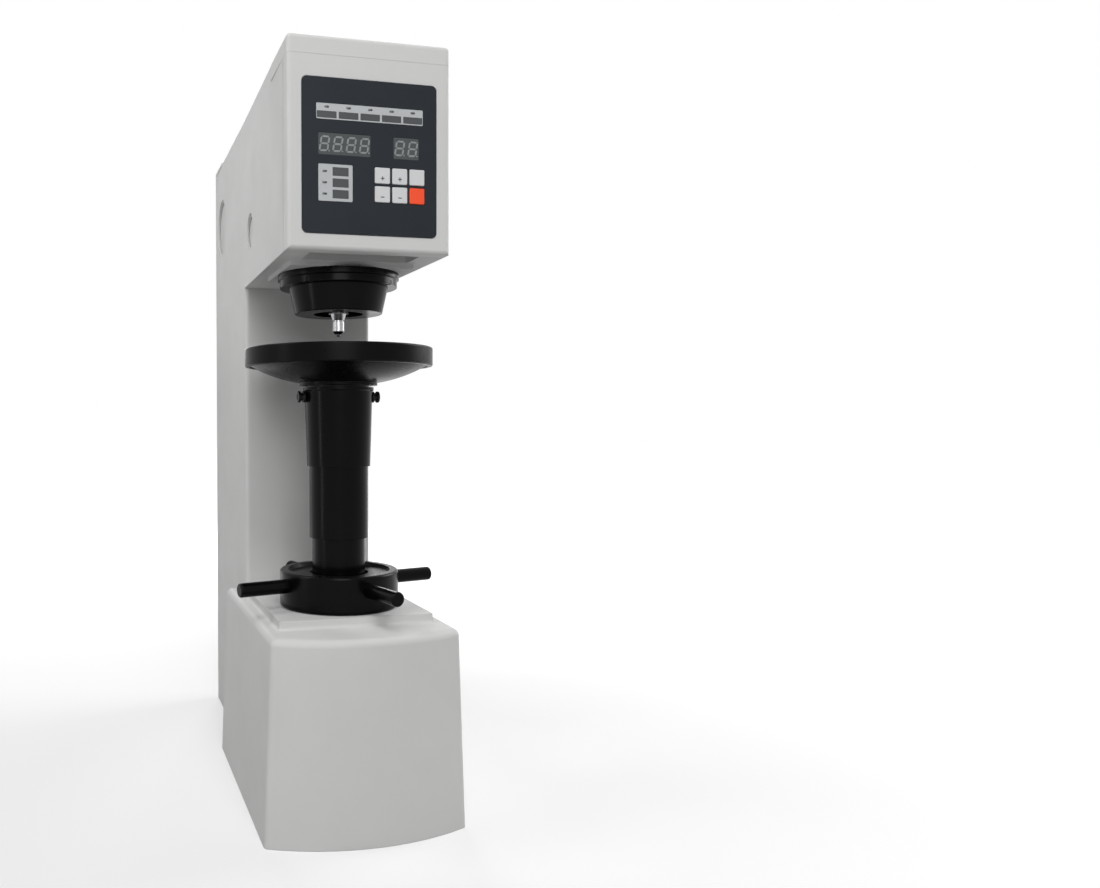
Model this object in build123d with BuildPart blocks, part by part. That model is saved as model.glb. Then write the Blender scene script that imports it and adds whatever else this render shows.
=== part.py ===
from build123d import *
import math
import os

# Electronic Brinell hardness tester, bench model.
# A cast C-frame carries the loading head above and the elevating screw below.
# Frame: the spindle axis is X = Y = 0, the bench top is Z = 0, the operator stands at -Y.
# All sizes are in millimetres.

# ---------------------------------------------------------------- driving sizes
# Casting
casting_wall = 9.0
throat = 135.0                  # spindle axis to the face of the column
column_half_width = 76.5
column_depth = 245.0            # face of the column to the machined rear face
head_underside_z = 557.0
head_height = 194.0
head_floor_wall = 12.0
head_front_half_width = 79.3
head_front = 112.0              # spindle axis to the front of the panel housing
base_height = 196.0
base_half_width = 101.0         # at the bench
base_taper = 7.0                # how much narrower each side is at the top of the base
base_corner = 102.0             # spindle axis to the front corners of the base
base_bow = 22.6                 # how far the front of the base bows out between its corners
base_tail = 36.0                # how far the wide base runs back past the face of the column
floor_web = 12.0
base_edge_radius = 7.0
column_edge_radius = 5.0
plinth_height = 9.0
plinth_foot_radius = 3.0
plinth_margin = 15.0            # inside the sides of the base's top
plinth_setback = 34.0           # behind the front corners of the base
boss_half_width = 64.5
boss_depth = 5.0
boss_front = 58.0
underside_slot_half = 54.0
underside_slot_rear = 60.0

# Covers
cover_wall = 3.0
cover_depth = 17.0
seam_gap = 1.3
seam_depth = 2.5
cap_length = 73.0
cap_skirt = 18.0
cap_rise = 2.5
cap_tongue_clearance = 0.882        # inside the skirt, each side
cover_corner_radius = 4.0
lid_length = 60.0
lid_depth = 7.0
lid_rise = 5.0                  # above the top of the head
rear_cover_thickness = 2.5
rear_cover_half_width = 66.0
rear_cover_bottom_z = 92.0
rear_cover_top_drop = 29.0      # below the top of the head
rear_cover_margin = 10.0
rear_screw_rows = 4
cover_screw_head_radius = 4.5
cover_screw_head_height = 2.4
cover_screw_chamfer = 0.8
cover_screw_radius = 2.5
cover_screw_length = 8.0
vent_slot_length = 70.0
vent_slot_width = 4.0
vent_slot_pitch = 12.0
vent_slot_count = 6
vent_center_rise = 63.0         # above the middle of the rear cover
large_plug_radius = 38.0
large_plug_inset = 62.0         # in front of the rear face
large_plug_rise = 107.0         # above the underside of the head
small_plug_radius = 20.5
small_plug_inset = 38.0         # in front of the face of the column
small_plug_rise = 57.5
plug_recess = 1.4
plug_thickness = 4.0
plug_dish_angle = 45.0

# Control panel
panel_width = 131.0
panel_height = 143.0
panel_center_rise = 86.5        # above the underside of the head
panel_corner_radius = 5.0
panel_thickness = 2.4
panel_proud = 0.6
panel_ledge = 5.0
key_size = 14.8
key_pitch_x = 17.0
key_pitch_z = 17.4
key_well_gap = 0.3
key_corner_radius = 1.2
key_thickness = 2.4
key_proud = 1.1
key_travel = 0.5
key_stem_radius = 2.4
keypad_center_x = 28.6
keypad_center_z = -24.4         # from the panel's centre
window_thickness = 1.4
window_recess = 0.3
force_window = (50.4, 20.3)
force_window_at = (-24.8, 10.9)
time_window = (25.2, 20.3)
time_window_at = (35.3, 10.9)
lamp_window = (103.8, 14.8)
lamp_window_at = (0.0, 40.6)
mode_window = (33.0, 34.3)
mode_window_at = (-33.5, -24.6)
board_thickness = 1.6
board_setback = 7.5             # panel's rear face to the front of the board
switch_radius = 3.0
switch_height = 2.5
switch_play = 0.1
board_post_radius = 3.0

# Loading head
guard_flange_radius = 63.5
guard_flange_thickness = 13.5
guard_ledge = 11.5              # from the rim of the flange to the top of the cup
guard_cup_bottom_radius = 46.0
guard_cup_height = 27.0
guard_cup_wall = 5.0
guard_cup_mouth_radius = 26.0
guard_step = 2.0
guard_screw_count = 4
guard_screw_angle = 45.0
guard_screw_head_radius = 3.4
guard_screw_head_height = 4.0
guard_screw_socket_radius = 1.7
socket_sides = 6
guard_screw_inset = 0.4
spindle_radius = 16.0
spindle_fit = 0.05
bush_radius = 24.0
bush_seat_gap = 0.05
bush_flange_radius = 36.0
bush_flange_thickness = 8.0
bush_length = 70.0
bush_rise = 23.0                # top of the bush above its flange
spindle_nose_drop = 45.0        # below the underside of the head
spindle_nose_radius = 10.5
spindle_nose_length = 10.0
spindle_collar_radius = 24.0
spindle_collar_thickness = 6.0
spindle_rest_gap = 0.3
indenter_collar_radius = 8.4
indenter_collar_length = 7.0
indenter_neck_radius = 5.4
indenter_neck_length = 1.4
indenter_body_radius = 6.2
indenter_body_length = 10.0
indenter_cone_length = 3.4
indenter_shank_radius = 4.0
indenter_shank_length = 24.0
shank_fit = 0.05
ball_radius = 2.5
ball_proud = 2.2
ball_seat_wall = 0.8
spring_wire_radius = 1.6
spring_turns = 4
spring_clearance = 1.2
spring_height = 27.7

# Lever train
lever_bracket_inner = 40.0
lever_bracket_plate = 8.0
lever_bracket_front = 46.0
lever_bracket_rear = 42.0
bracket_foot_clearance = 7.5    # from the bracket's foot to the inside of the casting
pivot_y = -30.0
pivot_rise = 113.0              # above the underside of the head
pivot_radius = 6.0
pivot_fit = 0.05
pivot_boss_radius = 14.0
pivot_head_radius = 9.0
pivot_head_thickness = 3.0
lever_width = 24.0
lever_depth_front = 28.0
lever_depth_rear = 18.0
lever_end_radius = 6.0
lever_pad_radius = 8.0
lever_pad_length = 2.9
lever_gap = 3.6                 # lever pad to the spindle's head before loading
load_arm = 270.0                # pivot to the loading screw's axis
lever_tail = 14.0
link_pin_radius = 5.0
link_pin_play = 0.6
link_width = 30.0
link_corner_radius = 10.0
link_plate = 6.0
link_play = 0.5
link_height = 30.0
cell_width = 40.0
cell_height = 52.0
cell_thickness = 20.0
cell_slot = 5.0
nut_radius = 15.0
nut_length = 30.0
load_screw_radius = 8.0
load_screw_fit = 0.05
load_screw_length = 66.0
load_screw_end_gap = 1.0
load_travel = 6.0
motor_radius = 30.0
motor_edge_radius = 3.75
motor_length = 78.0
gearbox_half_width = 34.0
gearbox_length = 30.0
coupling_radius = 14.0
coupling_length = 16.0
shelf_thickness = 8.0
shelf_half_width = 42.0
shelf_plate = 6.0
shelf_drop = 60.0

# Elevating gear
screw_radius = 16.0
screw_fit = 0.05
screw_length = 328.5
screw_head_radius = 32.1
screw_head_length = 20.0
keyway_width = 6.0
keyway_depth = 3.0
screw_foot_chamfer = 1.0
keyway_length = 182.0
key_fit = 0.3
guide_radius = 27.0
guide_length = 16.0
guide_flange = 6.0
guide_play = 0.3
nut_bore_radius = 27.5
hub_radius = 62.5
hub_height = 38.2
hub_edge_radius = 3.0
hub_lip_inner = 54.0
hub_dish_depth = 3.6
hub_socket_depth = 8.0
elevating_nut_radius = 24.0
elevating_nut_length = 40.0
nut_flange_radius = 31.0
nut_flange_thickness = 5.0
nut_seat_gap = 0.05
bearing_inner_radius = 25.5
bearing_outer_radius = 41.0
bearing_race = 3.0
bearing_play = 0.3
handle_count = 4
handle_first_angle = 14.0
handle_radius = 7.25
handle_reach = 115.0
handle_socket_radius = 44.0
handle_height = 24.0            # above the hub's underside
handle_end_radius = 2.0
handle_fit = 0.05

# Screw guard and anvil
guard_top_gap = 2.0
upper_tube_length = 82.5
upper_tube_top_radius = 35.8
upper_tube_bottom_radius = 33.4
upper_tube_bore = 32.2
upper_tube_lip_radius = 37.2
upper_tube_lip_height = 3.0
middle_tube_radius = 31.0
middle_tube_wall = 2.2
tube_overlap_upper = 11.0       # middle tube inside the upper tube
tube_overlap_lower = 12.5       # lower tube inside the middle tube
lower_tube_radius = 28.0
lower_tube_wall = 2.4
lower_tube_length = 54.0
tube_bead = 4.0
tube_play = 0.3
thumb_screw_drop = 11.7         # below the anvil's seat
thumb_screw_shaft_radius = 2.6
thumb_screw_shaft_play = 0.3
thumb_screw_head_radius = 6.0
thumb_screw_waist_radius = 4.2
thumb_screw_head_length = 8.2
anvil_radius = 98.5
anvil_top_z = 475.0
anvil_rim = 19.0
anvil_height = 38.5
anvil_lip_width = 5.0
anvil_lip_depth = 1.0
anvil_flare_inset = 6.5         # inside the rim
anvil_flare_sag = 2.6           # bulge of the underside below a straight cone
anvil_hub_radius = 41.0
anvil_edge_radius = 1.5
anvil_ring_radii = (20.0, 40.0, 60.0, 80.0)
anvil_ring_width = 1.6
anvil_ring_depth = 0.8
anvil_shank_radius = 12.5
anvil_shank_length = 22.0
anvil_shank_fit = 0.05
anvil_shank_play = 0.3
anvil_hub_band = 3.0

# Electrical parts
supply_size = (96.0, 84.0, 62.0)
supply_gap = 8.0                # behind the supply, to the rear wall of the base
supply_core_length = 42.0
supply_coil_width = 64.0
supply_coil_height = 46.5
supply_coil_corner = 10.5
supply_coil_rise = 7.75             # above the foot of the core
mains_rise = 58.0               # above the lower edge of the rear cover
switch_x = 34.0
switch_cutout = (13.0, 19.4)
switch_bezel = (15.0, 21.0)
switch_bezel_thickness = 1.8
switch_depth = 18.0
switch_wall = 1.2
rocker_axis_depth = 5.0
rocker_radius = 8.0
rocker_angle = 8.0
rocker_face = 4.6               # rocker axis to its flat face
inlet_x = -27.0
inlet_cutout = (27.6, 19.8)
inlet_bezel = (49.0, 22.6)
inlet_bezel_thickness = 2.6
inlet_depth = 20.0
inlet_cavity = (24.4, 16.4)
inlet_key_chamfer = 4.1
inlet_pin = (4.0, 2.0)
inlet_pin_length = 13.0
inlet_pin_pitch = 7.0
inlet_pin_drop = 2.0
fuse_x = 10.0
fuse_radius = 5.6
fuse_cap_radius = 7.2
fuse_cap_length = 9.0
fuse_cap_chamfer = 1.0
fuse_depth = 24.0
fuse_slot_width = 1.6
fit_gap = 0.2
cut_margin = 1.0                # how far an open-ended cut runs past the surface
pick_margin = 0.1                   # how closely an edge is looked for

os.makedirs("parts", exist_ok=True)


def save(part, name):
    """Label one finished piece and write it as its own STEP file."""
    part.label = name
    export_step(part, f"parts/{name}.step")


# ---------------------------------------------------------------- heights and depths that follow
cover_rear = head_front - cover_depth               # the casting's front face
column_rear = throat + column_depth
base_rear = throat + base_tail
base_half_top = base_half_width - base_taper
plinth_half_width = base_half_top - plinth_margin
plinth_front = base_corner - plinth_setback
plinth_top_z = base_height + plinth_height
head_top_z = head_underside_z + head_height
boss_bottom_z = head_underside_z - boss_depth
head_floor_z = head_underside_z + head_floor_wall
head_roof_z = head_top_z - casting_wall
cap_top_z = head_top_z + cap_rise
cap_bottom_z = cap_top_z - cap_skirt
cap_rear = head_front - cap_length
widest_half_width = max(column_half_width, head_front_half_width)
cap_tongue_half_width = head_front_half_width - cover_wall - cap_tongue_clearance
column_front_inner = throat + casting_wall
column_rear_inner = column_rear - casting_wall
lid_front = column_rear - lid_length
lid_bottom_z = head_top_z + lid_rise - lid_depth
rear_cover_top_z = head_top_z - rear_cover_top_drop
rear_cover_center_z = (rear_cover_bottom_z + rear_cover_top_z) / 2
rear_cover_height = rear_cover_top_z - rear_cover_bottom_z
rear_screw_pitch_x = 2 * rear_cover_half_width - rear_cover_margin
rear_screw_pitch_z = (rear_cover_height - rear_cover_margin) / (rear_screw_rows - 1)
vent_center_z = rear_cover_center_z + vent_center_rise
switch_z = rear_cover_bottom_z + mains_rise
large_plug_y = column_rear - large_plug_inset
large_plug_z = head_underside_z + large_plug_rise
small_plug_y = throat - small_plug_inset
small_plug_z = head_underside_z + small_plug_rise
panel_center_z = head_underside_z + panel_center_rise


def head_half_width(y):
    """Half width of the head, which narrows from its front face to the column."""
    share = (throat - y) / (throat + cover_rear)
    return column_half_width + (head_front_half_width - column_half_width) * share


small_plug_face_x = head_half_width(small_plug_y)


def handle_angle(index):
    """Bearing of one capstan handle about the screw, in degrees."""
    return handle_first_angle + index * 360 / handle_count


def rounded_plan(half_width, corner_y, bow, rear_y):
    """Plan of the base: straight sides and rear, with a front that bows out in one arc."""
    with BuildLine() as outline:
        Polyline(
            (-half_width, -corner_y),
            (-half_width, rear_y),
            (half_width, rear_y),
            (half_width, -corner_y),
        )
        ThreePointArc((half_width, -corner_y), (0, -corner_y - bow), (-half_width, -corner_y))
    return outline.line


# ---------------------------------------------------------------- frame casting
with BuildPart() as frame_casting:
    # Base block, drafted on both sides, with a bowed front
    with BuildSketch():
        add(rounded_plan(base_half_width, base_corner, base_bow, base_rear))
        make_face()
    with BuildSketch(Plane.XY.offset(base_height)):
        add(rounded_plan(base_half_top, base_corner, base_bow, base_rear))
        make_face()
    loft()
    base_top_edges = frame_casting.faces().sort_by(Axis.Z)[-1].edges().sort_by(Axis.Y)[:-1]
    front_corner_edges = (
        frame_casting.edges()
        .filter_by(lambda edge: edge.bounding_box().size.Z > base_height / 2)
        .sort_by(Axis.Y)[:2]
    )
    fillet(base_top_edges + front_corner_edges, base_edge_radius)
    # Column, rounded along the edges of its face
    with BuildSketch() as column_plan:
        with Locations((0, (throat + column_rear) / 2)):
            Rectangle(2 * column_half_width, column_rear - throat)
        fillet(column_plan.vertices().sort_by(Axis.Y)[:2], column_edge_radius)
    extrude(amount=head_top_z)
    # Head, narrowing towards the column
    with BuildSketch(Plane.XY.offset(head_underside_z)):
        Polygon(
            (-head_front_half_width, -cover_rear),
            (head_front_half_width, -cover_rear),
            (column_half_width, throat),
            (column_half_width, throat + 2 * column_edge_radius),
            (-column_half_width, throat + 2 * column_edge_radius),
            (-column_half_width, throat),
            align=None,
        )
    extrude(amount=head_top_z - head_underside_z)
    # Plinth for the handwheel, and the boss for the indenter guard
    with BuildSketch(Plane.XY.offset(base_height)):
        with Locations((0, (throat - plinth_front) / 2)):
            Rectangle(2 * plinth_half_width, throat + plinth_front)
    extrude(amount=plinth_height)
    plinth_foot = (
        frame_casting.edges()
        .filter_by_position(Axis.Z, base_height - pick_margin, base_height + pick_margin)
        .filter_by(lambda edge: edge.center().Y < throat - pick_margin)
        .filter_by(lambda edge: edge.center().Y > -plinth_front - pick_margin)
        .filter_by(lambda edge: abs(edge.center().X) < plinth_half_width + pick_margin)
    )
    fillet(plinth_foot, plinth_foot_radius)
    with BuildSketch(Plane.XY.offset(boss_bottom_z)):
        RectangleRounded(2 * boss_half_width, 2 * boss_front, cover_corner_radius)
    extrude(amount=boss_depth)
    # Hollows of the base and the column, closed below by the floor web
    with BuildSketch(Plane.XY.offset(floor_web)):
        with Locations((0, (base_rear - base_corner) / 2)):
            Rectangle(2 * (base_half_top - casting_wall), base_rear + base_corner - 2 * casting_wall)
    extrude(amount=base_height - casting_wall - floor_web, mode=Mode.SUBTRACT)
    with BuildSketch(Plane.XY.offset(floor_web)):
        with Locations((0, (column_front_inner + column_rear_inner) / 2)):
            Rectangle(2 * (column_half_width - casting_wall), column_rear_inner - column_front_inner)
    extrude(amount=head_roof_z - floor_web, mode=Mode.SUBTRACT)
    # Hollow of the head, open at the front behind the panel housing
    with BuildSketch(Plane.XY.offset(head_floor_z)):
        with Locations((0, (column_rear_inner - cover_rear) / 2)):
            Rectangle(2 * (column_half_width - casting_wall), column_rear_inner + cover_rear)
    extrude(amount=head_roof_z - head_floor_z, mode=Mode.SUBTRACT)
    # Slot in the underside behind the panel housing
    with BuildSketch(Plane.XY.offset(head_underside_z)):
        with Locations((0, -(cover_rear + underside_slot_rear) / 2)):
            Rectangle(2 * underside_slot_half, cover_rear - underside_slot_rear)
    extrude(amount=head_floor_wall, mode=Mode.SUBTRACT)
    # Rebate for the top cap, and the access opening under it
    with BuildSketch(Plane.XY.offset(cap_bottom_z)):
        with Locations((0, -(cover_rear + cap_rear) / 2)):
            Rectangle(2 * widest_half_width + cut_margin, cover_rear - cap_rear)
            Rectangle(2 * cap_tongue_half_width, cover_rear - cap_rear, mode=Mode.SUBTRACT)
    extrude(amount=cap_skirt, mode=Mode.SUBTRACT)
    with BuildSketch(Plane.XY.offset(head_roof_z)):
        with Locations((0, -(cover_rear + cap_rear) / 2)):
            Rectangle(2 * (column_half_width - 2 * casting_wall), cover_rear - cap_rear - 2 * casting_wall)
    extrude(amount=casting_wall, mode=Mode.SUBTRACT)
    # Seat for the rear lid
    with BuildSketch(Plane.XY.offset(lid_bottom_z)):
        with Locations((0, (lid_front + column_rear) / 2)):
            Rectangle(2 * column_half_width + cut_margin, column_rear - lid_front)
    extrude(amount=lid_depth - lid_rise, mode=Mode.SUBTRACT)
    # Opening in the rear face
    with BuildSketch(Plane.XZ.offset(-column_rear)):
        with Locations((0, rear_cover_center_z)):
            Rectangle(
                2 * (rear_cover_half_width - 2 * rear_cover_margin),
                rear_cover_height - 4 * rear_cover_margin,
            )
    extrude(amount=casting_wall, mode=Mode.SUBTRACT)
    with BuildSketch(Plane.XZ.offset(-column_rear)):
        with Locations((0, rear_cover_center_z)):
            with GridLocations(rear_screw_pitch_x, rear_screw_pitch_z, 2, rear_screw_rows):
                Circle(cover_screw_radius + fit_gap / 2)
    extrude(amount=cover_screw_length, mode=Mode.SUBTRACT)
    # Bores for the spindle bush, the elevating nut and the thrust bearing
    with Locations((0, 0, boss_bottom_z)):
        Cylinder(bush_radius + bush_seat_gap, boss_depth + head_floor_wall,
                 align=(Align.CENTER, Align.CENTER, Align.MIN), mode=Mode.SUBTRACT)
    with Locations((0, 0, base_height - casting_wall)):
        Cylinder(nut_bore_radius, casting_wall + plinth_height,
                 align=(Align.CENTER, Align.CENTER, Align.MIN), mode=Mode.SUBTRACT)
    with Locations((0, 0, base_height)):
        Cylinder(bearing_outer_radius + bearing_play, plinth_height,
                 align=(Align.CENTER, Align.CENTER, Align.MIN), mode=Mode.SUBTRACT)
    # Round access bores in both sides of the head and the column
    for side in (-1, 1):
        with BuildSketch(Plane.YZ.offset(side * column_half_width)):
            with Locations((large_plug_y, large_plug_z)):
                Circle(large_plug_radius + fit_gap)
        extrude(amount=-side * (plug_recess + plug_thickness), mode=Mode.SUBTRACT)
        with BuildSketch(Plane.YZ.offset(side * (small_plug_face_x + plug_recess))):
            with Locations((small_plug_y, small_plug_z)):
                Circle(small_plug_radius + fit_gap)
        extrude(amount=-side * (2 * plug_recess + plug_thickness), mode=Mode.SUBTRACT)
save(frame_casting.part, "frame_casting")


# ---------------------------------------------------------------- covers
# Panel housing: a shallow cast shell on the front of the head, with a tongue that leaves a seam groove
panel_front_y = -head_front - panel_proud
panel_rear_y = panel_front_y + panel_thickness
housing_height = cap_bottom_z - head_underside_z
with BuildPart() as panel_housing:
    with BuildSketch(Plane.XZ.offset(cover_rear + seam_gap)):
        with Locations((0, head_underside_z + housing_height / 2)):
            Rectangle(2 * head_front_half_width, housing_height)
    extrude(amount=cover_depth - seam_gap)
    housing_face_edges = panel_housing.faces().sort_by(Axis.Y)[0].edges().sort_by(Axis.Z)[:-1]
    fillet(housing_face_edges, cover_corner_radius)
    with BuildSketch(Plane.XZ.offset(cover_rear)):
        with Locations((0, head_underside_z + housing_height / 2)):
            Rectangle(2 * (head_front_half_width - seam_depth), housing_height - 2 * seam_depth)
    extrude(amount=seam_gap + fit_gap)
    with BuildSketch(Plane.XZ.offset(cover_rear)):
        with Locations((0, head_underside_z + housing_height / 2)):
            Rectangle(2 * (head_front_half_width - seam_depth - cover_wall), housing_height - 4 * cover_wall)
    extrude(amount=cover_depth - cover_wall, mode=Mode.SUBTRACT)
    # Recess and window for the control panel
    with BuildSketch(Plane.XZ.offset(-panel_rear_y)):
        with Locations((0, panel_center_z)):
            RectangleRounded(
                panel_width + 2 * fit_gap, panel_height + 2 * fit_gap, panel_corner_radius + fit_gap
            )
    extrude(amount=panel_thickness, mode=Mode.SUBTRACT)
    with BuildSketch(Plane.XZ.offset(cover_rear)):
        with Locations((0, panel_center_z)):
            Rectangle(panel_width - 2 * panel_ledge, panel_height - 2 * panel_ledge)
    extrude(amount=cover_depth, mode=Mode.SUBTRACT)
save(panel_housing.part, "panel_housing")

# Top cap: a lipped cover over the front of the head
cap_center_y = -(head_front + cap_rear) / 2
cap_half_width = head_front_half_width
with BuildPart() as top_cap:
    with BuildSketch(Plane.XY.offset(cap_bottom_z)):
        with Locations((0, cap_center_y)):
            Rectangle(2 * cap_half_width, cap_length)
    extrude(amount=cap_skirt)
    cap_edges = top_cap.faces().sort_by(Axis.Z)[-1].edges().sort_by(Axis.Y)[:-1]
    cap_corner_edges = top_cap.edges().filter_by(Axis.Z).sort_by(Axis.Y)[:2]
    fillet(cap_edges + cap_corner_edges, cover_corner_radius)
    with BuildSketch(Plane.XY.offset(cap_bottom_z)):
        with Locations((0, cap_center_y + cover_wall / 2)):
            Rectangle(2 * (cap_half_width - cover_wall), cap_length - cover_wall)
    extrude(amount=head_top_z - cap_bottom_z, mode=Mode.SUBTRACT)
save(top_cap.part, "top_cap")

# Rear lid over the tail of the load lever
with BuildPart() as rear_lid:
    with BuildSketch(Plane.XY.offset(lid_bottom_z)):
        with Locations((0, (lid_front + column_rear) / 2)):
            Rectangle(2 * (column_half_width - seam_depth), lid_length - 2 * seam_depth)
    extrude(amount=seam_gap)
    with BuildSketch(Plane.XY.offset(lid_bottom_z + seam_gap)):
        with Locations((0, (lid_front + seam_gap + column_rear) / 2)):
            Rectangle(2 * column_half_width, lid_length - seam_gap)
    extrude(amount=lid_depth - seam_gap)
    fillet(rear_lid.faces().sort_by(Axis.Z)[-1].edges(), lid_depth / 4)
save(rear_lid.part, "rear_lid")

# Rear cover plate with its vent slots and the cut-outs for the mains parts
rear_cover_outer_y = column_rear + rear_cover_thickness
with BuildPart() as rear_cover:
    with BuildSketch(Plane.XZ.offset(-rear_cover_outer_y)):
        with Locations((0, rear_cover_center_z)):
            RectangleRounded(2 * rear_cover_half_width, rear_cover_height, panel_corner_radius)
        with Locations((0, vent_center_z)):
            with GridLocations(0, vent_slot_pitch, 1, vent_slot_count):
                SlotOverall(vent_slot_length, vent_slot_width, mode=Mode.SUBTRACT)
        with Locations((switch_x, switch_z)):
            Rectangle(switch_cutout[0] + 2 * fit_gap, switch_cutout[1] + 2 * fit_gap, mode=Mode.SUBTRACT)
        with Locations((inlet_x, switch_z)):
            Rectangle(inlet_cutout[0] + 2 * fit_gap, inlet_cutout[1] + 2 * fit_gap, mode=Mode.SUBTRACT)
        with Locations((fuse_x, switch_z)):
            Circle(fuse_radius + fit_gap, mode=Mode.SUBTRACT)
        with Locations((0, rear_cover_center_z)):
            with GridLocations(rear_screw_pitch_x, rear_screw_pitch_z, 2, rear_screw_rows):
                Circle(cover_screw_radius + fit_gap, mode=Mode.SUBTRACT)
    extrude(amount=rear_cover_thickness)
save(rear_cover.part, "rear_cover")

# Screws of the rear cover
with BuildPart() as rear_cover_screws:
    with BuildSketch(Plane.XZ.offset(-rear_cover_outer_y)):
        with Locations((0, rear_cover_center_z)):
            with GridLocations(rear_screw_pitch_x, rear_screw_pitch_z, 2, rear_screw_rows):
                Circle(cover_screw_head_radius)
    extrude(amount=-cover_screw_head_height)
    head_rims = rear_cover_screws.faces().filter_by(Axis.Y).group_by(Axis.Y)[-1].edges()
    chamfer(head_rims, cover_screw_chamfer)
    with BuildSketch(Plane.XZ.offset(-rear_cover_outer_y)):
        with Locations((0, rear_cover_center_z)):
            with GridLocations(rear_screw_pitch_x, rear_screw_pitch_z, 2, rear_screw_rows):
                Circle(cover_screw_radius)
    extrude(amount=cover_screw_length)
save(rear_cover_screws.part, "rear_cover_screws")


def side_plugs(radius, center_y, center_z, face_x):
    """A pair of shallow dished blanking plugs, one in each side of the casting."""
    with BuildPart() as plugs:
        for side in (-1, 1):
            with BuildSketch(Plane.YZ.offset(side * (face_x - plug_recess))):
                with Locations((center_y, center_z)):
                    Circle(radius)
            extrude(amount=-side * plug_thickness)
            with BuildSketch(Plane.YZ.offset(side * (face_x - plug_recess))):
                with Locations((center_y, center_z)):
                    Circle(radius - plug_thickness)
            extrude(amount=-side * plug_thickness / 3, taper=-plug_dish_angle, mode=Mode.SUBTRACT)
    return plugs.part


save(side_plugs(large_plug_radius, large_plug_y, large_plug_z, column_half_width), "large_side_plugs")
save(side_plugs(small_plug_radius, small_plug_y, small_plug_z, small_plug_face_x), "small_side_plugs")


# ---------------------------------------------------------------- control panel
key_names = ("load_up_key", "time_up_key", "clear_key", "load_down_key", "time_down_key", "start_key")
key_columns = 3
key_rows = 2
key_front_y = panel_front_y - key_proud
board_front_y = panel_rear_y + board_setback
board_width = panel_width - 4 * panel_ledge
board_height = panel_height - 4 * panel_ledge
key_stem_end_y = board_front_y - switch_height - key_travel - switch_play
windows = (
    ("force_display", force_window, force_window_at),
    ("time_display", time_window, time_window_at),
    ("lamp_strip", lamp_window, lamp_window_at),
    ("mode_display", mode_window, mode_window_at),
)


def key_center(index):
    """Centre of one key in the plane of the panel, counted from the top left."""
    column = index % key_columns - (key_columns - 1) / 2
    row = index // key_columns - (key_rows - 1) / 2
    return (keypad_center_x + column * key_pitch_x, panel_center_z + keypad_center_z - row * key_pitch_z)


key_centers = [key_center(index) for index in range(key_columns * key_rows)]

with BuildPart() as control_panel:
    with BuildSketch(Plane.XZ.offset(-panel_rear_y)):
        with Locations((0, panel_center_z)):
            RectangleRounded(panel_width, panel_height, panel_corner_radius)
        with Locations(*key_centers):
            RectangleRounded(key_size + 2 * key_well_gap, key_size + 2 * key_well_gap, key_corner_radius,
                             mode=Mode.SUBTRACT)
    extrude(amount=panel_thickness)
    for name, size, center in windows:
        with BuildSketch(Plane.XZ.offset(-panel_front_y)):
            with Locations((center[0], panel_center_z + center[1])):
                RectangleRounded(size[0], size[1], key_corner_radius)
        extrude(amount=-(window_thickness + window_recess), mode=Mode.SUBTRACT)
    # Posts that carry the board
    with BuildSketch(Plane.XZ.offset(-board_front_y)):
        with Locations((0, panel_center_z)):
            with GridLocations(
                board_width - 4 * board_post_radius, board_height - 4 * board_post_radius, 2, 2
            ):
                Circle(board_post_radius)
    extrude(amount=board_setback)
save(control_panel.part, "control_panel")

for name, size, center in windows:
    with BuildPart() as window:
        with BuildSketch(Plane.XZ.offset(-(panel_front_y + window_recess))):
            with Locations((center[0], panel_center_z + center[1])):
                RectangleRounded(size[0] - fit_gap, size[1] - fit_gap, key_corner_radius)
        extrude(amount=-window_thickness)
    save(window.part, name)

for name, center in zip(key_names, key_centers):
    with BuildPart() as key:
        with BuildSketch(Plane.XZ.offset(-(key_front_y + key_thickness))):
            with Locations(center):
                RectangleRounded(key_size, key_size, key_corner_radius)
        extrude(amount=key_thickness)
        fillet(key.faces().sort_by(Axis.Y)[0].edges(), key_corner_radius / 2)
        with BuildSketch(Plane.XZ.offset(-key_stem_end_y)):
            with Locations(center):
                Circle(key_stem_radius)
        extrude(amount=key_stem_end_y - key_front_y - key_thickness)
    save(key.part, name)

with BuildPart() as control_board:
    with BuildSketch(Plane.XZ.offset(-(board_front_y + board_thickness))):
        with Locations((0, panel_center_z)):
            Rectangle(board_width, board_height)
    extrude(amount=board_thickness)
    with BuildSketch(Plane.XZ.offset(-board_front_y)):
        with Locations(*key_centers):
            Circle(switch_radius)
    extrude(amount=switch_height)
save(control_board.part, "control_board")


# ---------------------------------------------------------------- indenter guard and spindle
guard_cup_top_radius = guard_flange_radius - guard_ledge
flange_bottom_z = boss_bottom_z - guard_flange_thickness
cup_bottom_z = flange_bottom_z - guard_cup_height
bush_bottom_z = head_floor_z + bush_flange_thickness + bush_rise - bush_length
bush_top_z = bush_bottom_z + bush_length
spindle_nose_z = head_underside_z - spindle_nose_drop
spindle_collar_z = bush_top_z + spindle_rest_gap
pivot_z = head_underside_z + pivot_rise
lever_foot_z = pivot_z - lever_depth_front / 2
lever_pad_z = lever_foot_z - lever_pad_length
spindle_top_z = lever_pad_z - lever_gap
bridge_bottom_z = spindle_collar_z + spindle_collar_thickness + spring_height
guard_screw_circle = (guard_flange_radius + guard_cup_top_radius) / 2

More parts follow.
